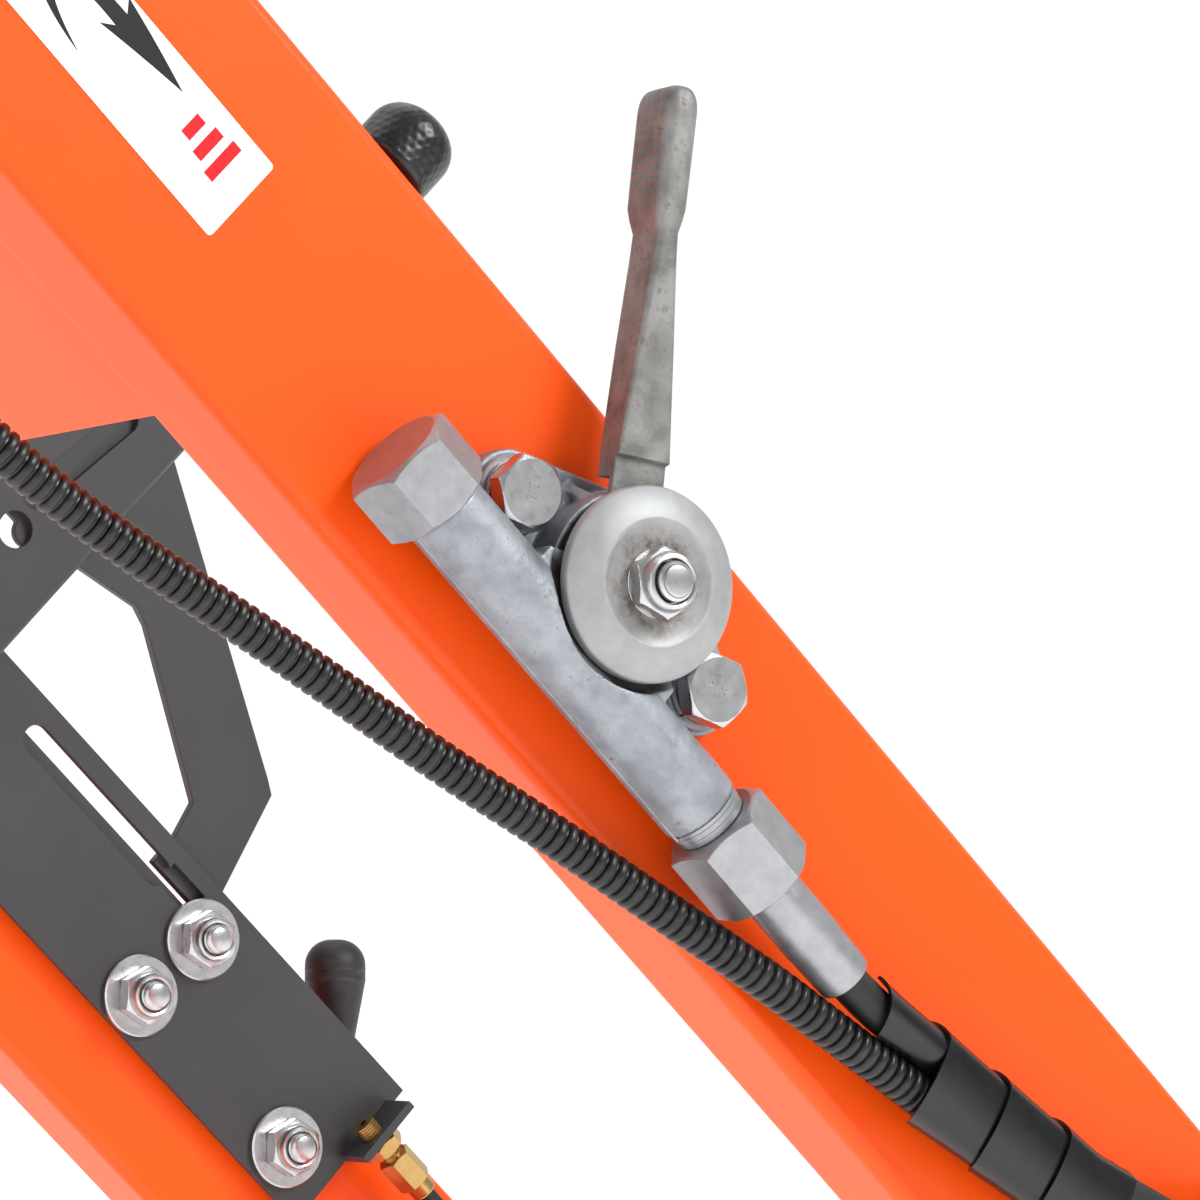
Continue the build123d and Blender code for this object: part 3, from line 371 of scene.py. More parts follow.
def finished(name, shape, place, material, body="root", stands_for=(), crease=32.0, ease=0.0):
    """Makes a piece from a bmesh in millimetres: smooth up to the crease angle, riding on a body."""
    bmesh.ops.transform(shape, matrix=place, verts=shape.verts)
    bmesh.ops.recalc_face_normals(shape, faces=shape.faces)
    for face in shape.faces:
        face.smooth = True
    for edge in shape.edges:
        edge.smooth = len(edge.link_faces) == 2 and edge.calc_face_angle(0.0) < radians(crease)
    mesh = bpy.data.meshes.new(name)
    shape.to_mesh(mesh)
    shape.free()
    piece = placed(name, mesh)
    mesh.materials.append(material)
    if ease:
        bevel = piece.modifiers.new("eased_edges", "BEVEL")
        bevel.width = ease * MM
        bevel.segments = 2
        bevel.limit_method = "ANGLE"
        bevel.angle_limit = radians(crease)
        bevel.harden_normals = True
    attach(piece, body)
    if stands_for:
        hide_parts(*stands_for)
    return piece


def poured(shape, whole):
    """Adds a bmesh to another and frees it."""
    part = bpy.data.meshes.new("part")
    shape.to_mesh(part)
    shape.free()
    whole.from_mesh(part)
    bpy.data.meshes.remove(part)


def merged(shapes):
    """One bmesh from several (bmesh, placement) pairs."""
    whole = bmesh.new()
    for shape, place in shapes:
        bmesh.ops.transform(shape, matrix=place, verts=shape.verts)
        poured(shape, whole)
    return whole


def skinned(shape, rings, closed=False, capped=True):
    """Skins a run of equal rings of points; closed joins the last ring to the first."""
    made = [[shape.verts.new(point) for point in points] for points in rings]
    joined = list(zip(made, made[1:]))
    if closed:
        joined.append((made[-1], made[0]))
    count = len(made[0])
    for low, high in joined:
        for k in range(count):
            following = (k + 1) % count
            shape.faces.new((low[k], low[following], high[following], high[k]))
    if capped:
        shape.faces.new(made[0][::-1])
        shape.faces.new(made[-1])


def turned(profile, steps=96, rim=None, closed=False):
    """Shape turned about its z axis from (radius, height) points; rim is the widest radius at an angle."""
    shape = bmesh.new()
    angles = [2 * pi * k / steps for k in range(steps)]
    rings = []
    for radius, height in profile:
        widths = [min(radius, rim(a)) if rim else radius for a in angles]
        rings.append([(r * cos(a), r * sin(a), height) for r, a in zip(widths, angles)])
    skinned(shape, rings, closed, capped=False)
    bmesh.ops.remove_doubles(shape, verts=shape.verts, dist=1e-4)
    return shape


def hexagon(flats):
    """Rim of a hexagon that has a corner at angle zero."""
    return lambda a: flats / 2 / cos(a % (pi / 3) - pi / 6)


def chamfer_cone(flats, height, way, share=0.96, fall=30.0, rings=7):
    """Turned corners of a hexagon at height: rings from the end face out to the corners."""
    inner, outer = share * flats / 2, flats / sqrt(3) + 0.01
    radii = [inner + (outer - inner) * k / rings for k in range(rings + 1)]
    return [(r, height - way * (r - inner) * tan(radians(fall))) for r in radii]


def hex_bar(flats, low, high, bore=0.0, share=0.96):
    """Hexagonal bar with turned corners at both ends."""
    top = chamfer_cone(flats, high, 1, share)
    bottom = chamfer_cone(flats, low, -1, share)[::-1]
    profile = [(bore, high)] + top + bottom + [(bore, low)]
    return turned(profile, rim=hexagon(flats), closed=bore > 0)


def ring(outer, inner, low, high, edge=0.3):
    """Flat ring with its edges broken."""
    return turned([(inner, low + edge), (inner, high - edge), (inner + edge, high), (outer - edge, high),
                   (outer, high - edge), (outer, low + edge), (outer - edge, low), (inner + edge, low)],
                  closed=True)


def threaded_tip(diameter, low, high, pitch=1.5):
    """Stud end with thread turns below a chamfer."""
    r, depth = diameter / 2, 0.55
    profile = [(0, high), (r - 1.3, high), (r - 1.0, high - 0.15), (r - 0.1, high - 1.0)]
    z = high - 1.0 - pitch / 4
    while z > low + pitch:
        profile += [(r, z), (r, z - 0.2), (r - depth, z - pitch / 2), (r - depth, z - pitch / 2 - 0.15)]
        z -= pitch
    profile += [(r - depth, low), (0, low)]
    return turned(profile, steps=64)


def run_of(points):
    """Smooth cord line through a route's control points, as a NURBS curve in the row frame."""
    curve = bpy.data.curves.new("run", "CURVE")
    curve.dimensions = "3D"
    spline = curve.splines.new("NURBS")
    spline.points.add(len(points) - 1)
    for point, spot in zip(spline.points, points):
        point.co = (*on_leg(*spot), 1.0)
    spline.order_u = 3
    spline.use_endpoint_u = True
    curve.resolution_u = 24
    return curve


def line_points(curve):
    """Points along a cord's line, in the row frame."""
    mesh = mesh_of(curve)
    points = [v.co.copy() for v in mesh.vertices]
    bpy.data.meshes.remove(mesh)
    return points


def measured(points):
    """Distance of each point from the first, along the line."""
    total, distances = 0.0, [0.0]
    for a, b in zip(points, points[1:]):
        total += (b - a).length
        distances.append(total)
    return distances


def frames_along(points, distances, stations, side):
    """Centre, side and upper direction of the line at each station distance."""
    found, k = [], 0
    for station in stations:
        while k < len(points) - 2 and distances[k + 1] < station:
            k += 1
        share = (station - distances[k]) / (distances[k + 1] - distances[k])
        run = (points[k + 1] - points[k]).normalized()
        before = (points[k] - points[k - 1]).normalized() if k else run
        after = (points[k + 2] - points[k + 1]).normalized() if k + 2 < len(points) else run
        way = ((before + run) * (1 - share) + (run + after) * share).normalized()
        upper = way.cross(side).normalized()
        found.append((points[k].lerp(points[k + 1], share), upper.cross(way).normalized(), upper))
    return found


def sleeve(points, stations, sides=28, side=SLANT):
    """Round shape along a line; stations are (distance in mm, radius in mm). In metres, in the row frame."""
    shape = bmesh.new()
    distances = measured(points)
    centres = frames_along(points, distances, [station * MM for station, _ in stations], side)
    angles = [2 * pi * k / sides for k in range(sides)]
    skinned(shape, [[centre + (x * cos(a) + y * sin(a)) * radius * MM for a in angles]
                    for (centre, x, y), (_, radius) in zip(centres, stations)])
    return shape


def rounded_section(half, low, high, corner, per_corner=6):
    """Points round a rectangle with rounded corners: (y, z) pairs."""
    points = []
    middle, tall = (low + high) / 2, (high - low) / 2
    corner = min(corner, half - 0.05, tall - 0.05)
    for k in range(4):
        cy = (half - corner) * (1 if k in (0, 3) else -1)
        cz = (tall - corner) * (1 if k in (0, 1) else -1)
        for j in range(per_corner + 1):
            a = pi / 2 * (k + j / per_corner)
            points.append((cy + corner * cos(a), middle + cz + corner * sin(a)))
    return points


# ------------ cords and their wrap
def round_cord(name, route, diameter, fineness):
    """Rubber-sheathed cord along a route, closed at its ends."""
    curve = run_of(route)
    curve.bevel_depth = diameter / 2 * MM
    curve.bevel_resolution = fineness
    curve.use_fill_caps = True
    curve.materials.append(hose_rubber)
    piece = placed(name, curve)
    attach(piece, "root")
    return piece


def hydraulic_hose():
    """Rubber hose from the pump's ferrule to the union on the lower bulkhead."""
    piece = round_cord("rubber_hose", hose_route, HOSE_D, 8)
    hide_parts("hydraulic_hose")


def corrugated_conduit(points):
    """Split nylon conduit: round ribs 3.2 mm apart, with a shallow waist along each rib."""
    pitch, groove = 3.2, 1.15
    ridge = CONDUIT_D / 2
    rib = [(0.0, ridge - groove), (0.32, ridge - groove), (0.62, ridge - 0.42), (0.95, ridge - 0.06),
           (1.4, ridge), (1.9, ridge - 0.05), (2.35, ridge - 0.03), (2.72, ridge - 0.4),
           (2.98, ridge - groove)]            # (along, radius)
    length = measured(points)[-1] / MM
    count = int(length // pitch)
    lead = (length - count * pitch) / 2
    stations = [(lead + pitch * k + along, radius) for k in range(count) for along, radius in rib]
    stations.append((length, ridge - groove))
    shape = sleeve(points, [(0, ridge - groove)] + stations)
    piece = finished("nylon_conduit", shape, IN_PLACE, conduit_nylon,
                     stands_for=["corrugated_conduit"], crease=60)


def throttle_cable():
    """Sheathed cable from the brass adjuster to its anchor on the far leg."""
    piece = round_cord("sheathed_cable", cable_route, CABLE_D, 6)
    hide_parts("throttle_cable")


def at_s(route, s):
    """(w, h) of a route at s, between its own points."""
    for a, b in zip(route, route[1:]):
        if a[0] <= s <= b[0]:
            share = (s - a[0]) / (b[0] - a[0])
            return a[1] + (b[1] - a[1]) * share, a[2] + (b[2] - a[2]) * share
    return route[-1][1:]


def spiral_wrap():
    """Wound plastic strip: its first turn holds the hose alone, and the later ones the conduit too."""
    pitch, band, wall, slack, flare = 23.0, 24.6, 0.9, 0.35, 1.1
    first_s, last_s, turns, per_turn, rows = 121.0, 219.0, 3.95, 72, 9
    lead_angle, widens_from, widens_over, squareness = 0.15, 0.62, 0.5, 1.7
    shape = bmesh.new()
    skins = []
    for step in range(int(turns * per_turn) + 1):
        turn = step / per_turn
        angle = 2 * pi * turn + lead_angle
        share = min(max((turn - widens_from) / widens_over, 0.0), 1.0)
        share = share * share * (3 - 2 * share)
        skin = []
        for row in range(rows):
            v = row / (rows - 1)
            s = min(first_s + pitch * turn + band * v, last_s)
            hose, conduit = at_s(hose_route, s), at_s(conduit_route, s)
            apart = (hose[0] - conduit[0]) / 2
            w = hose[0] - apart * share
            h = hose[1] + (conduit[1] - hose[1]) / 2 * share
            reach = HOSE_D / 2 + slack + (CONDUIT_D - HOSE_D) / 2 * share + flare * (1 - v) ** 1.5
            sideways = apart * share * max(-1.0, min(1.0, squareness * cos(angle)))
            for skin_wall in (0.0, wall):
                skin.append(on_leg(s, w + sideways + (reach + skin_wall) * cos(angle),
                                   h + (reach + skin_wall) * sin(angle)))
        inner, outer = skin[0::2], skin[1::2]
        skins.append(inner + outer[::-1])
    skinned(shape, skins)
    finished("wound_wrap", shape, IN_PLACE, wrap_plastic, stands_for=["spiral_wrap"],
             crease=40)


# ------------ hand lever, disc and nut
def hand_lever():
    """Die-cast lever: flat tapering arm with a stepped root, and a thicker grip with slanting side ribs."""
    offset = 3.0                                      # arm's middle line from the pinion axis
    outline = [(9, 7.5, 17.05, 19.2, 0.3), (25.9, 7.5, 17.05, 19.2, 0.3), (26.1, 7.6, 11.6, 19.2, 0.5),
               (30.6, 7.5, 11.5, 19.3, 0.6), (31.3, 7.65, 11.4, 20.8, 0.5), (33, 7.6, 11.3, 20.8, 0.8),
               (60, 5.5, 8.8, 20.8, 1.6), (82, 3.7, 7.2, 20.8, 2.3), (89, 3.3, 6.7, 20.8, 2.5),
               (92.5, 4.2, 5.4, 21.1, 2.9), (95.5, 4.7, 4.5, 21.4, 3.2), (108, 4.9, 4.3, 21.4, 3.4),
               (120, 5.0, 4.2, 21.4, 3.6)]            # (along, half width, low, high, corner)
    tip, tip_low, tip_high = 126.5, 4.2, 21.4
    ribs_from, ribs_to, rib_pitch, rib_proud, rib_slant = 97, 121, 2.9, 0.3, 6
    seam_half, seam_proud = 0.45, 0.1

    def section(x):
        """Half width, low, high and corner of the arm at x."""
        for a, b in zip(outline, outline[1:]):
            if x <= b[0]:
                share = (x - a[0]) / (b[0] - a[0])
                return [p + (q - p) * share for p, q in zip(a[1:], b[1:])]
        return outline[-1][1:]

    def subdivided(points, side_rows=18, face_rows=6):
        """The section's points with more of them along its straight sides."""
        skin = []
        for point, following in zip(points, points[1:] + points[:1]):
            skin.append(point)
            along_side = abs(point.y - following.y) < 1e-6 and abs(point.z - following.z) > 1.0
            along_face = abs(point.z - following.z) < 1e-6 and abs(point.y - following.y) > 1.0
            rows = side_rows if along_side else face_rows if along_face else 1
            skin += [point.lerp(following, row / rows) for row in range(1, rows)]
        return skin

    skins = []
    stations = [9, 25.9, 26.1, 30.6, 30.9, 31.3, 31.6] + [32 + 0.5 * k for k in range(177)]
    for x in stations:
        half, low, high, corner = section(x)
        middle = (low + high) / 2
        skin = subdivided([Vector((x, y, z)) for y, z in rounded_section(half, low, high, corner, 5)])
        for p in skin:
            if abs(p.y) < half - 0.05 or abs(p.z - middle) > (high - low) / 2 - corner * 0.7:
                continue
            way = 1 if p.y > 0 else -1
            height = (p.z - middle) / (high - low)
            if ribs_from < x < ribs_to and 0.06 < abs(height) < 0.34:
                wave = sin(2 * pi * (x + rib_slant * height * way) / rib_pitch)
                fade = min(1.0, (x - ribs_from) / 2, (ribs_to - x) / 2)
                p.y += way * rib_proud * max(-0.4, min(1.0, 1.6 * wave)) * fade
            if abs(p.z - middle) < seam_half:
                p.y += way * (seam_proud + seam_proud * noise.noise(Vector((x * 1.3, 0, 0))))
        skins.append(skin)
    end, last_x = skins[-1], stations[-1]
    tip_middle = (tip_low + tip_high) / 2
    for k in range(1, 9):
        a = pi / 2 * k / 8.5
        shrink = cos(a) ** 0.55
        skins.append([Vector((last_x + (tip - last_x) * sin(a), p.y * shrink,
                              tip_middle + (p.z - tip_middle) * (0.55 + 0.45 * shrink))) for p in end])
    for skin in skins:
        for p in skin:
            p.y += offset
    shape = bmesh.new()
    skinned(shape, skins)
    hub = ring(13.5, 8.05, 17.0, 20.8, 0.2)
    whole = merged([(shape, standing(0, 0, 0, "h", LEVER_TURN)), (hub, standing(0, 0, 0))])
    finished("cast_lever", whole, IN_PLACE, lever_alloy, "lever", ["control_lever"],
             crease=38)


def turned_disc():
    """Dished disc over the pinion: broken rim, long cone, raised land and a shallow pan for the nut."""
    profile = [(5.1, 27.9), (9.5, 27.9), (13.5, 28.25), (14.6, 28.5), (15.2, 28.85), (15.8, 29.05),
               (16.5, 29.0), (23.9, 25.6), (24.3, 25.2), (24.5, 24.7), (24.5, 22.4), (24.2, 22.05),
               (23.8, 22.0), (10.2, 22.0), (10.0, 20.9), (5.1, 20.9)]
    finished("dished_disc", turned(profile, 160, closed=True), standing(0, 0, 0), disc_steel,
             "lever", ["cover_disc"], crease=24)


def lever_nut():
    """Self-locking nut on the pinion's stud: turned hexagon, round crown and a thread end inside it."""
    hexa = hex_bar(16, 28.0, 32.9, bore=5.05, share=0.96)
    crown = turned([(5.5, 32.6), (5.5, 35.2), (5.75, 35.8), (6.2, 36.05), (6.8, 35.9), (7.2, 35.4),
                    (7.45, 34.3), (7.5, 32.6)], 72, closed=True)
    washer = ring(8.6, 5.1, 27.9, 28.25, 0.1)
    turn = standing(0, 0, 0, "h", 18)
    whole = merged([(hexa, turn), (crown, turn), (washer, turn)])
    finished("self_locking_nut", whole, IN_PLACE, bright_zinc, "lever", ["lever_lock_nut"],
             crease=28)


def pinion_stud():
    """Chamfered end of the pinion's stud, inside the nut's crown."""
    cap = turned([(0, 37.75), (3.6, 37.75), (3.9, 37.65), (5.0, 36.7), (5.1, 36.3), (5.1, 34.6),
                  (4.6, 34.2), (0, 34.2)], 64)
    finished("pinion_stud_end", cap, standing(0, 0, 0), bright_zinc, "lever", crease=28)


# ------------ pump casting and what is screwed to it
def pump_casting():
    """The casting, its corners rounded as by a sand mould: the frame's solid, remeshed and relaxed."""
    voxel, lump_mm, lump_high, grit_mm, grit_high = 0.55, 6, 0.09, 1.6, 0.04
    mesh = frame["nodes"]["pump_body"].data.copy()
    mesh.materials.clear()
    shape = bmesh.new()
    shape.from_mesh(mesh)
    bmesh.ops.remove_doubles(shape, verts=shape.verts, dist=1e-6)
    for way in (-1, 1):
        rib = bmesh.new()
        profile = [(way * 27, 5.6), (way * 13, 5.6), (way * 20, 14.0)]
        skinned(rib, [[(s, w, h) for s, h in profile] for w in (8, 11)])
        bmesh.ops.transform(rib, matrix=standing(0, 0, 0), verts=rib.verts)
        poured(rib, shape)
    shape.to_mesh(mesh)
    shape.free()
    piece = placed("pump_casting", mesh)
    remesh = piece.modifiers.new("mould", "REMESH")
    remesh.mode = "VOXEL"
    remesh.voxel_size = voxel * MM
    relax = piece.modifiers.new("relax", "SMOOTH")
    relax.factor = 0.5
    relax.iterations = 4
    bpy.context.view_layer.update()
    made = bpy.data.meshes.new_from_object(piece.evaluated_get(bpy.context.evaluated_depsgraph_get()))
    piece.modifiers.clear()
    piece.data = made
    made.polygons.foreach_set("use_smooth", [True] * len(made.polygons))
    ways = [vertex.normal.copy() for vertex in made.vertices]
    for vertex, out in zip(made.vertices, ways):
        lump = noise.noise(vertex.co / (lump_mm * MM)) * lump_high
        grit = noise.noise(vertex.co / (grit_mm * MM)) * grit_high
        vertex.co += out * (lump + grit) * MM
    made.materials.append(pump_alloy)
    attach(piece, "root")
    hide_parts("pump_body")


def casting_seam():
    """Mould seam along the underside of the pump's tube."""
    shape = bmesh.new()
    w = TUBE_W - TUBE_D / 2 + 0.1
    rows = []
    for k in range(53):
        s = TUBE_TOP + 1 + 2 * k
        proud = 0.3 + 0.12 * noise.noise(Vector((s / 3, 0, 0)))
        rows.append([(s, w, TUBE_H - 0.5), (s, w - proud, TUBE_H - 0.25),
                     (s, w - proud, TUBE_H + 0.25), (s, w, TUBE_H + 0.5)])
    skinned(shape, rows)
    finished("casting_seam", shape, standing(0, 0, 0), pump_alloy, crease=40)


def tube_cap():
    """Hexagonal cap screwed into the tube's upper end, with turned corners."""
    hexa = hex_bar(26.4, -69.5, -51.1, share=0.93)
    turn = standing(0, TUBE_W, TUBE_H, "s", 14)
    thread = turned([(0, -51.4), (8.1, -51.4), (8.1, -46.6), (0, -46.6)], 48)
    whole = merged([(hexa, turn), (thread, turn)])
    finished("hexagon_end_cap", whole, IN_PLACE, dull_zinc, stands_for=["tube_end_cap"],
             crease=26)


def hose_nut():
    """Union nut on the pump's outlet: a long hexagon with turned ends."""
    hexa = hex_bar(25.4, 58.2, 80.6, bore=7.1, share=0.945)
    finished("union_nut", hexa, standing(0, TUBE_W, TUBE_H, "s", 24.6), dull_zinc,
             stands_for=["hose_union_nut"], crease=26)


def ferrule():
    """Crimped ferrule: plain sleeve, a step, and a tail pressed on the hose with faint crimp flats."""
    flats, flat_depth, dent = 8, 0.008, 0.004
    profile = [(6.85, 70.6), (6.85, 80.5), (7.5, 80.7), (7.85, 81.0), (7.9, 81.6), (7.9, 99.8), (7.8, 100.6),
               (7.7, 101.1), (7.45, 112.0), (7.3, 113.6), (7.05, 114.2), (6.6, 114.4), (5.3, 114.4),
               (5.28, 108.6), (2.6, 108.4), (2.6, 70.6)]
    shape = turned(profile, 96, closed=True)
    for vert in shape.verts:
        if 81.5 < vert.co.z < 114:
            angle = atan2(vert.co.y, vert.co.x)
            vert.co.xy *= 1 + flat_depth * cos(flats * angle) + dent * noise.noise(vert.co / 3)
    finished("crimped_ferrule", shape, standing(0, TUBE_W, TUBE_H, "s"), dull_zinc,
             stands_for=["hose_ferrule"], crease=26)


def outlet_adapter():
    """Adapter between the casting and the union nut."""
    profile = [(2.6, 48.4), (8.1, 48.4), (8.1, 53.1), (9.7, 53.1), (10.1, 53.4), (10.1, 54.3), (9.9, 54.6),
               (9.9, 55.9), (9.6, 56.2), (9.6, 57.9), (7.4, 58.1), (7.0, 58.4), (7.0, 70.0), (2.6, 70.0)]
    finished("outlet_adapter", turned(profile, 72, closed=True), standing(0, TUBE_W, TUBE_H, "s"), dull_zinc,
             stands_for=["port_adapter"], crease=26)


def pump_bolts():
    """Two hexagon-head bolts with turned heads, their split spring washers and their flat washers."""
    flats, head, turn = 17, 6.4, 25
    spring_steps, spring_lift, spring_arc = 64, 0.2, 0.985
    spring_section = ((5.6, 0.05), (8.6, 0.05), (8.75, 0.25), (8.75, 1.75), (8.6, 1.95), (5.6, 1.95))
    heads, washers, springs = [], [], []
    for s, w in PUMP_BOLTS.values():
        place, level = standing(s, w, 0, "h", turn), standing(s, w, 0)
        bearing = [(0, HEAD_H + 0.6), (7.5, HEAD_H + 0.6), (7.6, HEAD_H + 0.4), (7.6, HEAD_H),
                   (0, HEAD_H)]
        shank = [(0, HEAD_H), (5.0, HEAD_H), (5.0, -17.0), (4.2, -18.0), (0, -18.0)]
        heads += [(hex_bar(flats, HEAD_H + 0.45, HEAD_H + head), place), (turned(bearing, 72), place),
                  (turned(shank, 48), place)]
        washers.append((ring(10.25, 5.5, WASHER_H, WASHER_H + 2, 0.35), level))
        coil = []
        for k in range(spring_steps + 1):
            a = 2 * pi * (k / spring_steps) * spring_arc - pi / 2 + 0.05
            low = WASHER_H + 2 + spring_lift * k / spring_steps
            coil.append([(r * cos(a), r * sin(a), low + z) for r, z in spring_section])
        spring = bmesh.new()
        skinned(spring, coil)
        springs.append((spring, level))
    finished("hexagon_bolts", merged(heads), IN_PLACE, bright_zinc,
             stands_for=["pump_bolts"], crease=24)
    finished("flat_washers", merged(washers), IN_PLACE, dull_zinc,
             stands_for=["pump_flat_washers"])
    finished("split_washers", merged(springs), IN_PLACE, bright_zinc,
             stands_for=["pump_spring_washers"])


def strength_marks():
    """Raised strength-class number on each bolt head."""
    for name, turn in (("upper", -62), ("lower", 18)):
        s, w = PUMP_BOLTS[name]
        text = bpy.data.curves.new("class", "FONT")
        text.body = "8.8"
        text.size = 4.4
        text.extrude = 0.12
        text.align_x = "CENTER"
        text.align_y = "CENTER"
        mesh = mesh_of(text)
        shape = bmesh.new()
        shape.from_mesh(mesh)
        bpy.data.meshes.remove(mesh)
        finished(f"{name}_strength_mark", shape, standing(s, w, HEAD_H + 6.45, "h", turn), bright_zinc,
                 crease=30)


# ------------ knob, buffer and label
def dimpled_knob():
    """Moulded knob with a domed top, and rows of shallow dimples for grip."""
    r, high, dome, edge_h = 11.75, 19.0, 8.0, 2.0
    shoulder = high - dome
    around, row_gap, dimple_r, dimple_depth = 28, 2.2, 0.95, 0.12
    profile = [(4.1, 0.0), (r - 1.9, 0.0), (r - 0.9, 0.25), (r - 0.2, 1.0), (r, edge_h)]
    profile += [(r, edge_h + 0.5 * k) for k in range(1, int(2 * (shoulder - edge_h)) + 1)]
    for a in (pi / 2 * k / 20 for k in range(1, 21)):
        profile.append((r - dome * (1 - cos(a)), shoulder + dome * sin(a)))
    profile += [(3.5, high + 0.02), (2.0, high + 0.05), (0, high + 0.06)]
    shape = turned(profile, 180)
    for vert in shape.verts:
        reach = vert.co.xy.length
        if reach < 6 or vert.co.z < 1.5:
            continue
        angle = atan2(vert.co.y, vert.co.x)
        along = vert.co.z if vert.co.z < shoulder else shoulder + (vert.co.z - shoulder) * 1.25
        row = floor((along - edge_h) / row_gap)
        u = (angle / (2 * pi) * around + (0.5 if row % 2 else 0.0)) % 1.0 - 0.5
        v = ((along - edge_h) / row_gap) % 1.0 - 0.5
        gap = sqrt((u * 2 * pi * reach / around) ** 2 + (v * row_gap) ** 2)
        vert.co.xy *= 1 - dimple_depth * max(0.0, 1 - (gap / dimple_r) ** 2) / reach
    bore = turned([(4.1, 0.0), (4.1, 12.4), (0, 12.4)], 48)
    place = standing(-109, EDGE + 2.1, -16, "w")
    finished("dimpled_knob", merged([(shape, place), (bore, place)]), IN_PLACE, knob_plastic,
             "knob", ["cover_knob"], crease=40)


def rubber_stop():
    """Moulded rubber stop on the far leg: narrow foot, flared body with two mould lines and a domed top."""
    profile = [(5.1, 18), (6.6, 18), (7.0, 18.4)]
    profile += [(7.0 + 3.4 * k / 6, 18.4 + 18.6 * k / 6) for k in range(1, 7)]
    profile += [(10.5, 37.6), (10.62, 37.9), (10.5, 38.2), (10.5, 41.4), (10.62, 41.7), (10.5, 42.0),
                (10.5, 43)]
    profile += [(1.5 + 9 * cos(pi / 2 * k / 12), 43 + 9 * sin(pi / 2 * k / 12)) for k in range(1, 13)]
    profile += [(0, 52)]
    stem = turned([(5.1, 18), (5.1, 30.2), (0, 30.2)], 48)
    upright = Matrix.Translation(on_leg(237, EDGE, FAR - 16)) @ Matrix.Scale(MM, 4)
    finished("rubber_stop", merged([(turned(profile, 72), upright), (stem, upright)]), IN_PLACE,
             buffer_rubber, stands_for=["rubber_buffer"], crease=35)


def bend(start, pull, end, steps=14):
    """Points of a smooth curve from start towards end, pulled to one side."""
    points = []
    for k in range(steps):
        t = k / steps
        points.append(tuple((1 - t) ** 2 * a + 2 * t * (1 - t) * b + t * t * c
                            for a, b, c in zip(start, pull, end)))
    return points


def printed(name, outline, h, thick, material):
    """Flat printed shape from its (s, w) outline."""
    shape = bmesh.new()
    face = shape.faces.new([shape.verts.new((s, w, h)) for s, w in outline])
    lifted = bmesh.ops.extrude_face_region(shape, geom=[face])
    for vert in (g for g in lifted["geom"] if isinstance(g, bmesh.types.BMVert)):
        vert.co.z += thick
    bmesh.ops.triangulate(shape, faces=[f for f in shape.faces if len(f.verts) > 4])
    finished(name, shape, standing(0, 0, 0), material)


def direction_label():
    """White label with a hooked arrow that points down the leg, and three red bars at its end."""
    low, high, left, right, corner = -219, -135, LAYOUT - 50.75, LAYOUT - 25.25, 1.2
    outline = []
    for k, (cs, cw) in enumerate(((high, right), (low, right), (low, left), (high, left))):
        inward = ((-1, -1), (1, -1), (1, 1), (-1, 1))[k]
        for j in range(6):
            a = pi / 2 * (k + j / 5)
            outline.append((cs + corner * (inward[0] + cos(a)), cw + corner * (inward[1] + sin(a))))
    printed("label_film", outline, 0.06, 0.24, white_film)
    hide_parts("direction_label")
    middle = LAYOUT - 38
    hook = [((-189, -7.4), (-204, -6.5)), ((-213.5, -0.5), (-216.5, 4.5)), ((-203, 8.6), None),
            ((-187, 9.0), None), ((-189.5, 12.2), (-178, 10.3)), ((-164, 6.8), (-178, 4.6)),
            ((-190.5, 1.9), None), ((-187.2, 4.7), (-202, 5.2)), ((-206, 2.0), (-207, -3.2))]
    arrow = []                       # hook: corners, each with the point that pulls the line after it
    for (start, pull), (end, _) in zip(hook, hook[1:] + hook[:1]):
        arrow += bend(start, pull, end) if pull else [start]
    printed("hooked_arrow", [(s, middle + w) for s, w in arrow], 0.3, 0.05, black_ink)
    first_bar, bar_gap, bar_long = -158, 5.5, 3.2
    for k in range(3):
        s, wide = first_bar + bar_gap * k, 3.2 + 1.3 * k
        low_w, high_w = middle + 3 - wide, middle + 3 + wide
        bar = [(s, low_w), (s + bar_long, low_w), (s + bar_long, high_w), (s, high_w)]
        printed(f"red_bar_{k + 1}", bar, 0.3, 0.05, red_ink)


# ------------ brackets, washers, nuts and cable fittings
def eased(node, material, ease=0.5):
    """A sheet-metal node with its cut edges eased, as paint rounds them."""
    shape = bmesh.new()
    shape.from_mesh(frame["nodes"][node].data)
    bmesh.ops.remove_doubles(shape, verts=shape.verts, dist=2e-6)
    bmesh.ops.dissolve_limit(shape, angle_limit=radians(1.0), verts=shape.verts, edges=shape.edges)
    body = frame["nodes"][node]["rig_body"]
    finished("painted_" + node, shape, IN_PLACE, material, body, [node], crease=30, ease=ease)


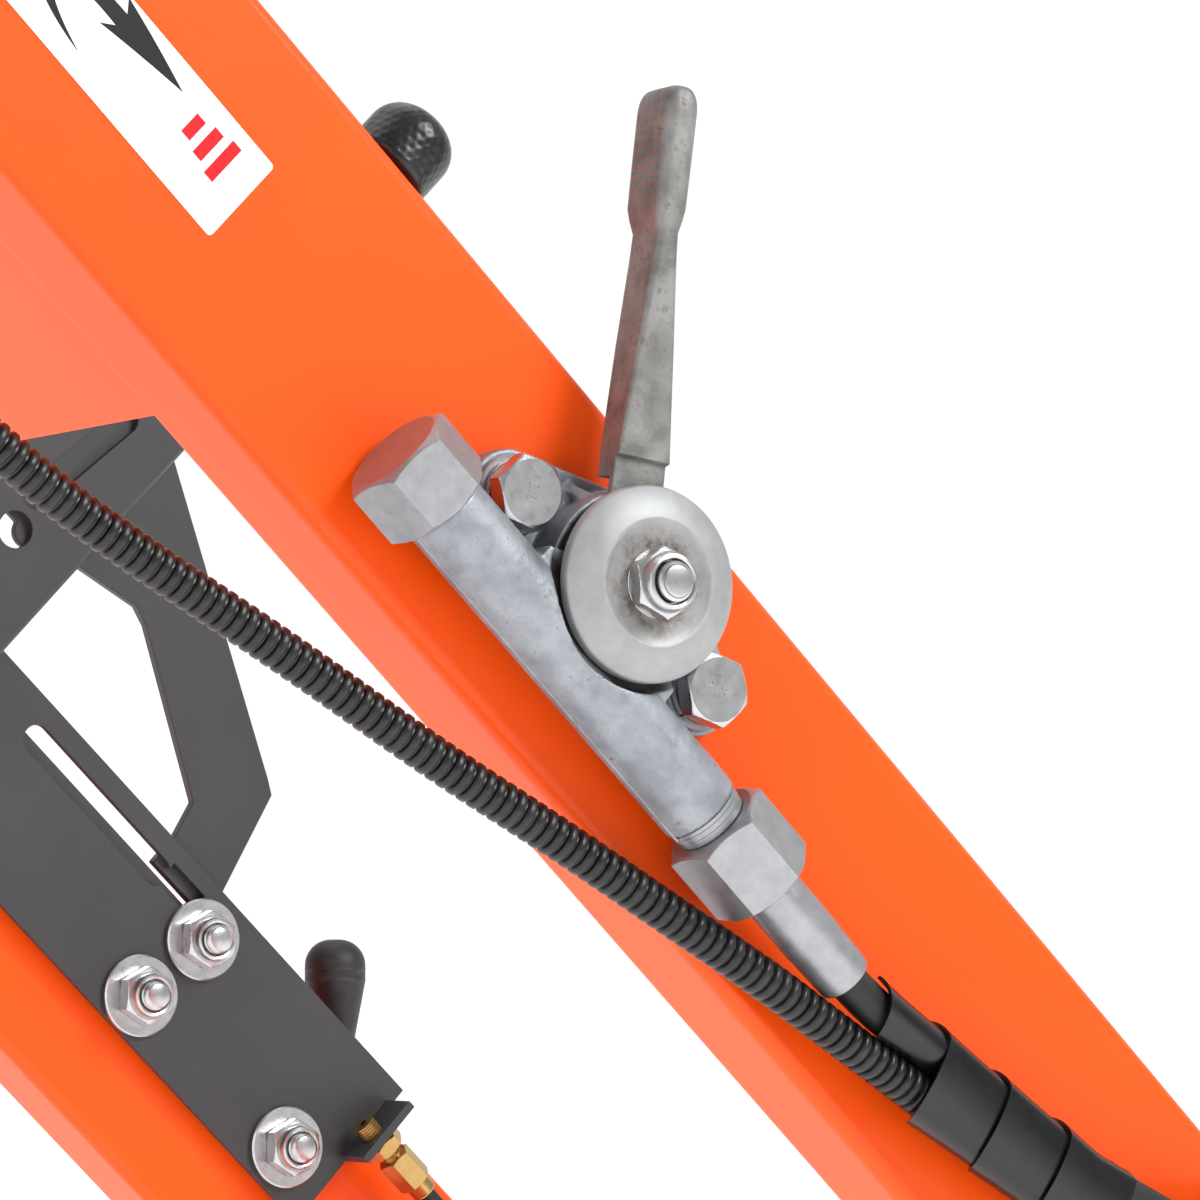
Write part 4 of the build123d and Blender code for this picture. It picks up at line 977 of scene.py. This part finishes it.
def plate_fixings():
    """Three studs through the black plates: large washers, self-locking nuts and chamfered stud ends."""
    washers, nuts, studs = [], [], []
    top = PLATE_FRONT + 2.55
    for s, w in PLATE_BOLTS:
        place = standing(s, w, 0)
        washers.append((ring(13.75, 5.5, PLATE_FRONT + 0.05, top, 0.5), place))
        turn = standing(s, w, 0, "h", 12)
        nuts.append((hex_bar(17, top, top + 6.3, bore=5.05, share=0.95), turn))
        crown = [(5.2, top + 6.1), (5.2, top + 8.6), (5.6, top + 9.3), (6.4, top + 9.5), (7.0, top + 9.1),
                 (7.3, top + 8.2), (7.4, top + 6.1)]
        nuts.append((turned(crown, 64, closed=True), turn))
        studs.append((threaded_tip(10, FAR - 5, PLATE_FRONT + 14.5), place))
    finished("large_washers", merged(washers), IN_PLACE, bright_zinc,
             stands_for=["plate_washers"])
    finished("large_nuts", merged(nuts), IN_PLACE, bright_zinc,
             stands_for=["plate_nuts"], crease=26)
    finished("threaded_studs", merged(studs), IN_PLACE, bright_zinc,
             stands_for=["plate_studs"])


def cable_fittings():
    """Lock nut and long-hexagon adjuster of the throttle cable."""
    w, h, end = 22.5, FAR + 16.1, 247
    place = standing(0, w, h, "s", 10)
    lock = hex_bar(13, end + 0.1, end + 5.1, bore=4.05, share=0.95)
    finished("adjuster_nut", lock, place, brass, stands_for=["adjuster_lock_nut"], crease=26)
    body = hex_bar(11, end + 8.1, end + 21, bore=1.6, share=0.95)
    thread = []
    z = end - 8
    while z < end + 7.5:
        thread += [(4.0, z), (4.0, z + 0.25), (3.5, z + 0.6), (3.5, z + 0.75)]
        z += 1.0
    stem = turned([(1.6, end - 8.2)] + thread + [(3.5, end + 8.2), (1.6, end + 8.2)], 48, closed=True)
    tail = turned([(3.06, end + 20.9), (4.3, end + 20.9), (4.5, end + 21.3), (4.5, end + 25.5),
                   (4.2, end + 26), (3.06, end + 26)], 64, closed=True)
    finished("brass_adjuster", merged([(body, place), (stem, place), (tail, place)]), IN_PLACE, brass,
             stands_for=["cable_adjuster"], crease=26)


# ------------ making the object
def paint(node, material):
    """Gives a node of the frame a material of its own."""
    slots = frame["nodes"][node].data.materials
    slots.clear()
    slots.append(material)


CARRIED_OVER = {
    orange_paint: ["near_leg", "far_leg", "pivot_tube", "upper_bushes"],
    black_paint: ["stand_spacers"],
    gear_steel: ["rack_piston", "gear_cover", "pinion_shaft"],
    dull_zinc: ["pump_weld_nuts", "bulkhead_screws", "hose_bulkhead_union", "knob_stud", "stand_bolts"],
    plug_plastic: ["leg_end_plugs", "conduit_gland_lower", "conduit_gland_upper"],
    buffer_rubber: ["piston_seals"],
}
for material, nodes in CARRIED_OVER.items():
    for node in nodes:
        paint(node, material)

for node in ("slotted_plate", "backing_plate", "brace_arm", "stand_bracket", "slot_strip", "buffer_post",
             "cable_anchor"):
    eased(node, black_paint)
for node in ("bridge_plate", "conduit_tab"):
    eased(node, orange_paint)
eased("line_bulkhead", dull_zinc, 0.3)

hydraulic_hose()
corrugated_conduit(line_points(run_of(conduit_route)))
throttle_cable()
spiral_wrap()
hand_lever()
turned_disc()
lever_nut()
pinion_stud()
pump_casting()
casting_seam()
tube_cap()
hose_nut()
ferrule()
outlet_adapter()
pump_bolts()
strength_marks()
dimpled_knob()
rubber_stop()
direction_label()
plate_fixings()
cable_fittings()

# ------------ floor, light and camera
lowest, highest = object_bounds()


def lit_acrylic():
    """Matt white acrylic of a light table, lit from below, faintly uneven."""
    material, tree, shader, place = started("opal_acrylic", {
        "Roughness": 0.8, "IOR": 1.3, "Emission Color": linear("#FFFFFF"), "Emission Strength": 0.6})
    uneven = add(tree, "TexNoise", None, {"Vector": place, "Scale": 2.0, "Detail": 2})
    colour = add(tree, "Mix", {"data_type": "RGBA"}, {
        FACTOR: uneven.outputs["Fac"], COLOUR_A: linear("#FAFAFA"), COLOUR_B: linear("#FDFDFD")})
    tree.links.new(colour.outputs[COLOUR_OUT], shader.inputs["Base Color"])
    return material


floor_shape = bmesh.new()
bmesh.ops.create_grid(floor_shape, x_segments=8, y_segments=8, size=30)
floor_mesh = bpy.data.meshes.new("light_table")
floor_shape.to_mesh(floor_mesh)
floor_shape.free()
floor_piece = placed("light_table", floor_mesh)
floor_piece.location = (0, 0, lowest.z - 0.25)
floor_mesh.materials.append(lit_acrylic())


def soft_light(name, spot, target, size, watts):
    """White rectangular softbox at a spot, turned towards a target."""
    lamp = bpy.data.lights.new(name, "AREA")
    lamp.shape = "RECTANGLE"
    lamp.size, lamp.size_y = size
    lamp.energy = watts
    holder = placed(name, lamp)
    holder.location = spot
    holder.rotation_euler = (Vector(target) - Vector(spot)).to_track_quat("-Z", "Y").to_euler()


soft_light("key_softbox", (0.75, -1.7, 1.5), (-0.2, -0.2, 0.2), (0.9, 0.9), 38)
soft_light("left_softbox", (-2.2, -1.3, 0.7), (-0.2, 0.0, 0.2), (1.4, 1.6), 10)
soft_light("top_softbox", (-0.2, 0.4, 2.2), (-0.2, 0.1, 0.2), (2.0, 1.6), 12)

world = bpy.data.worlds.new("white_studio")
bpy.context.scene.world = world
world.use_nodes = True
sky = world.node_tree
way = add(sky, "TexCoord").outputs["Generated"]
behind = add(sky, "VectorMath", {"operation": "DOT_PRODUCT"}, {0: way, 1: (0.54, 0.84, 0.0)})
strength = add(sky, "MapRange", None, {
    "Value": behind.outputs["Value"], "From Min": 0.2, "From Max": 0.85, "To Min": 0.4, "To Max": 1.05})
sky.nodes["Background"].inputs["Color"].default_value = linear("#FFFFFF")
sky.links.new(strength.outputs["Result"], sky.nodes["Background"].inputs["Strength"])
bpy.context.scene.view_settings.view_transform = "Standard"

camera_data = bpy.data.cameras.new("camera")
camera_data.lens = 153
camera_data.sensor_width = 36
camera = placed("camera", camera_data)
camera.location = PINION + Vector((-0.68756, -1.06943, -0.08894))
aim = PINION + Vector((0.00134, -0.00013, -0.00244))
camera.rotation_euler = (aim - camera.location).to_track_quat("-Z", "Y").to_euler()
bpy.context.scene.camera = camera
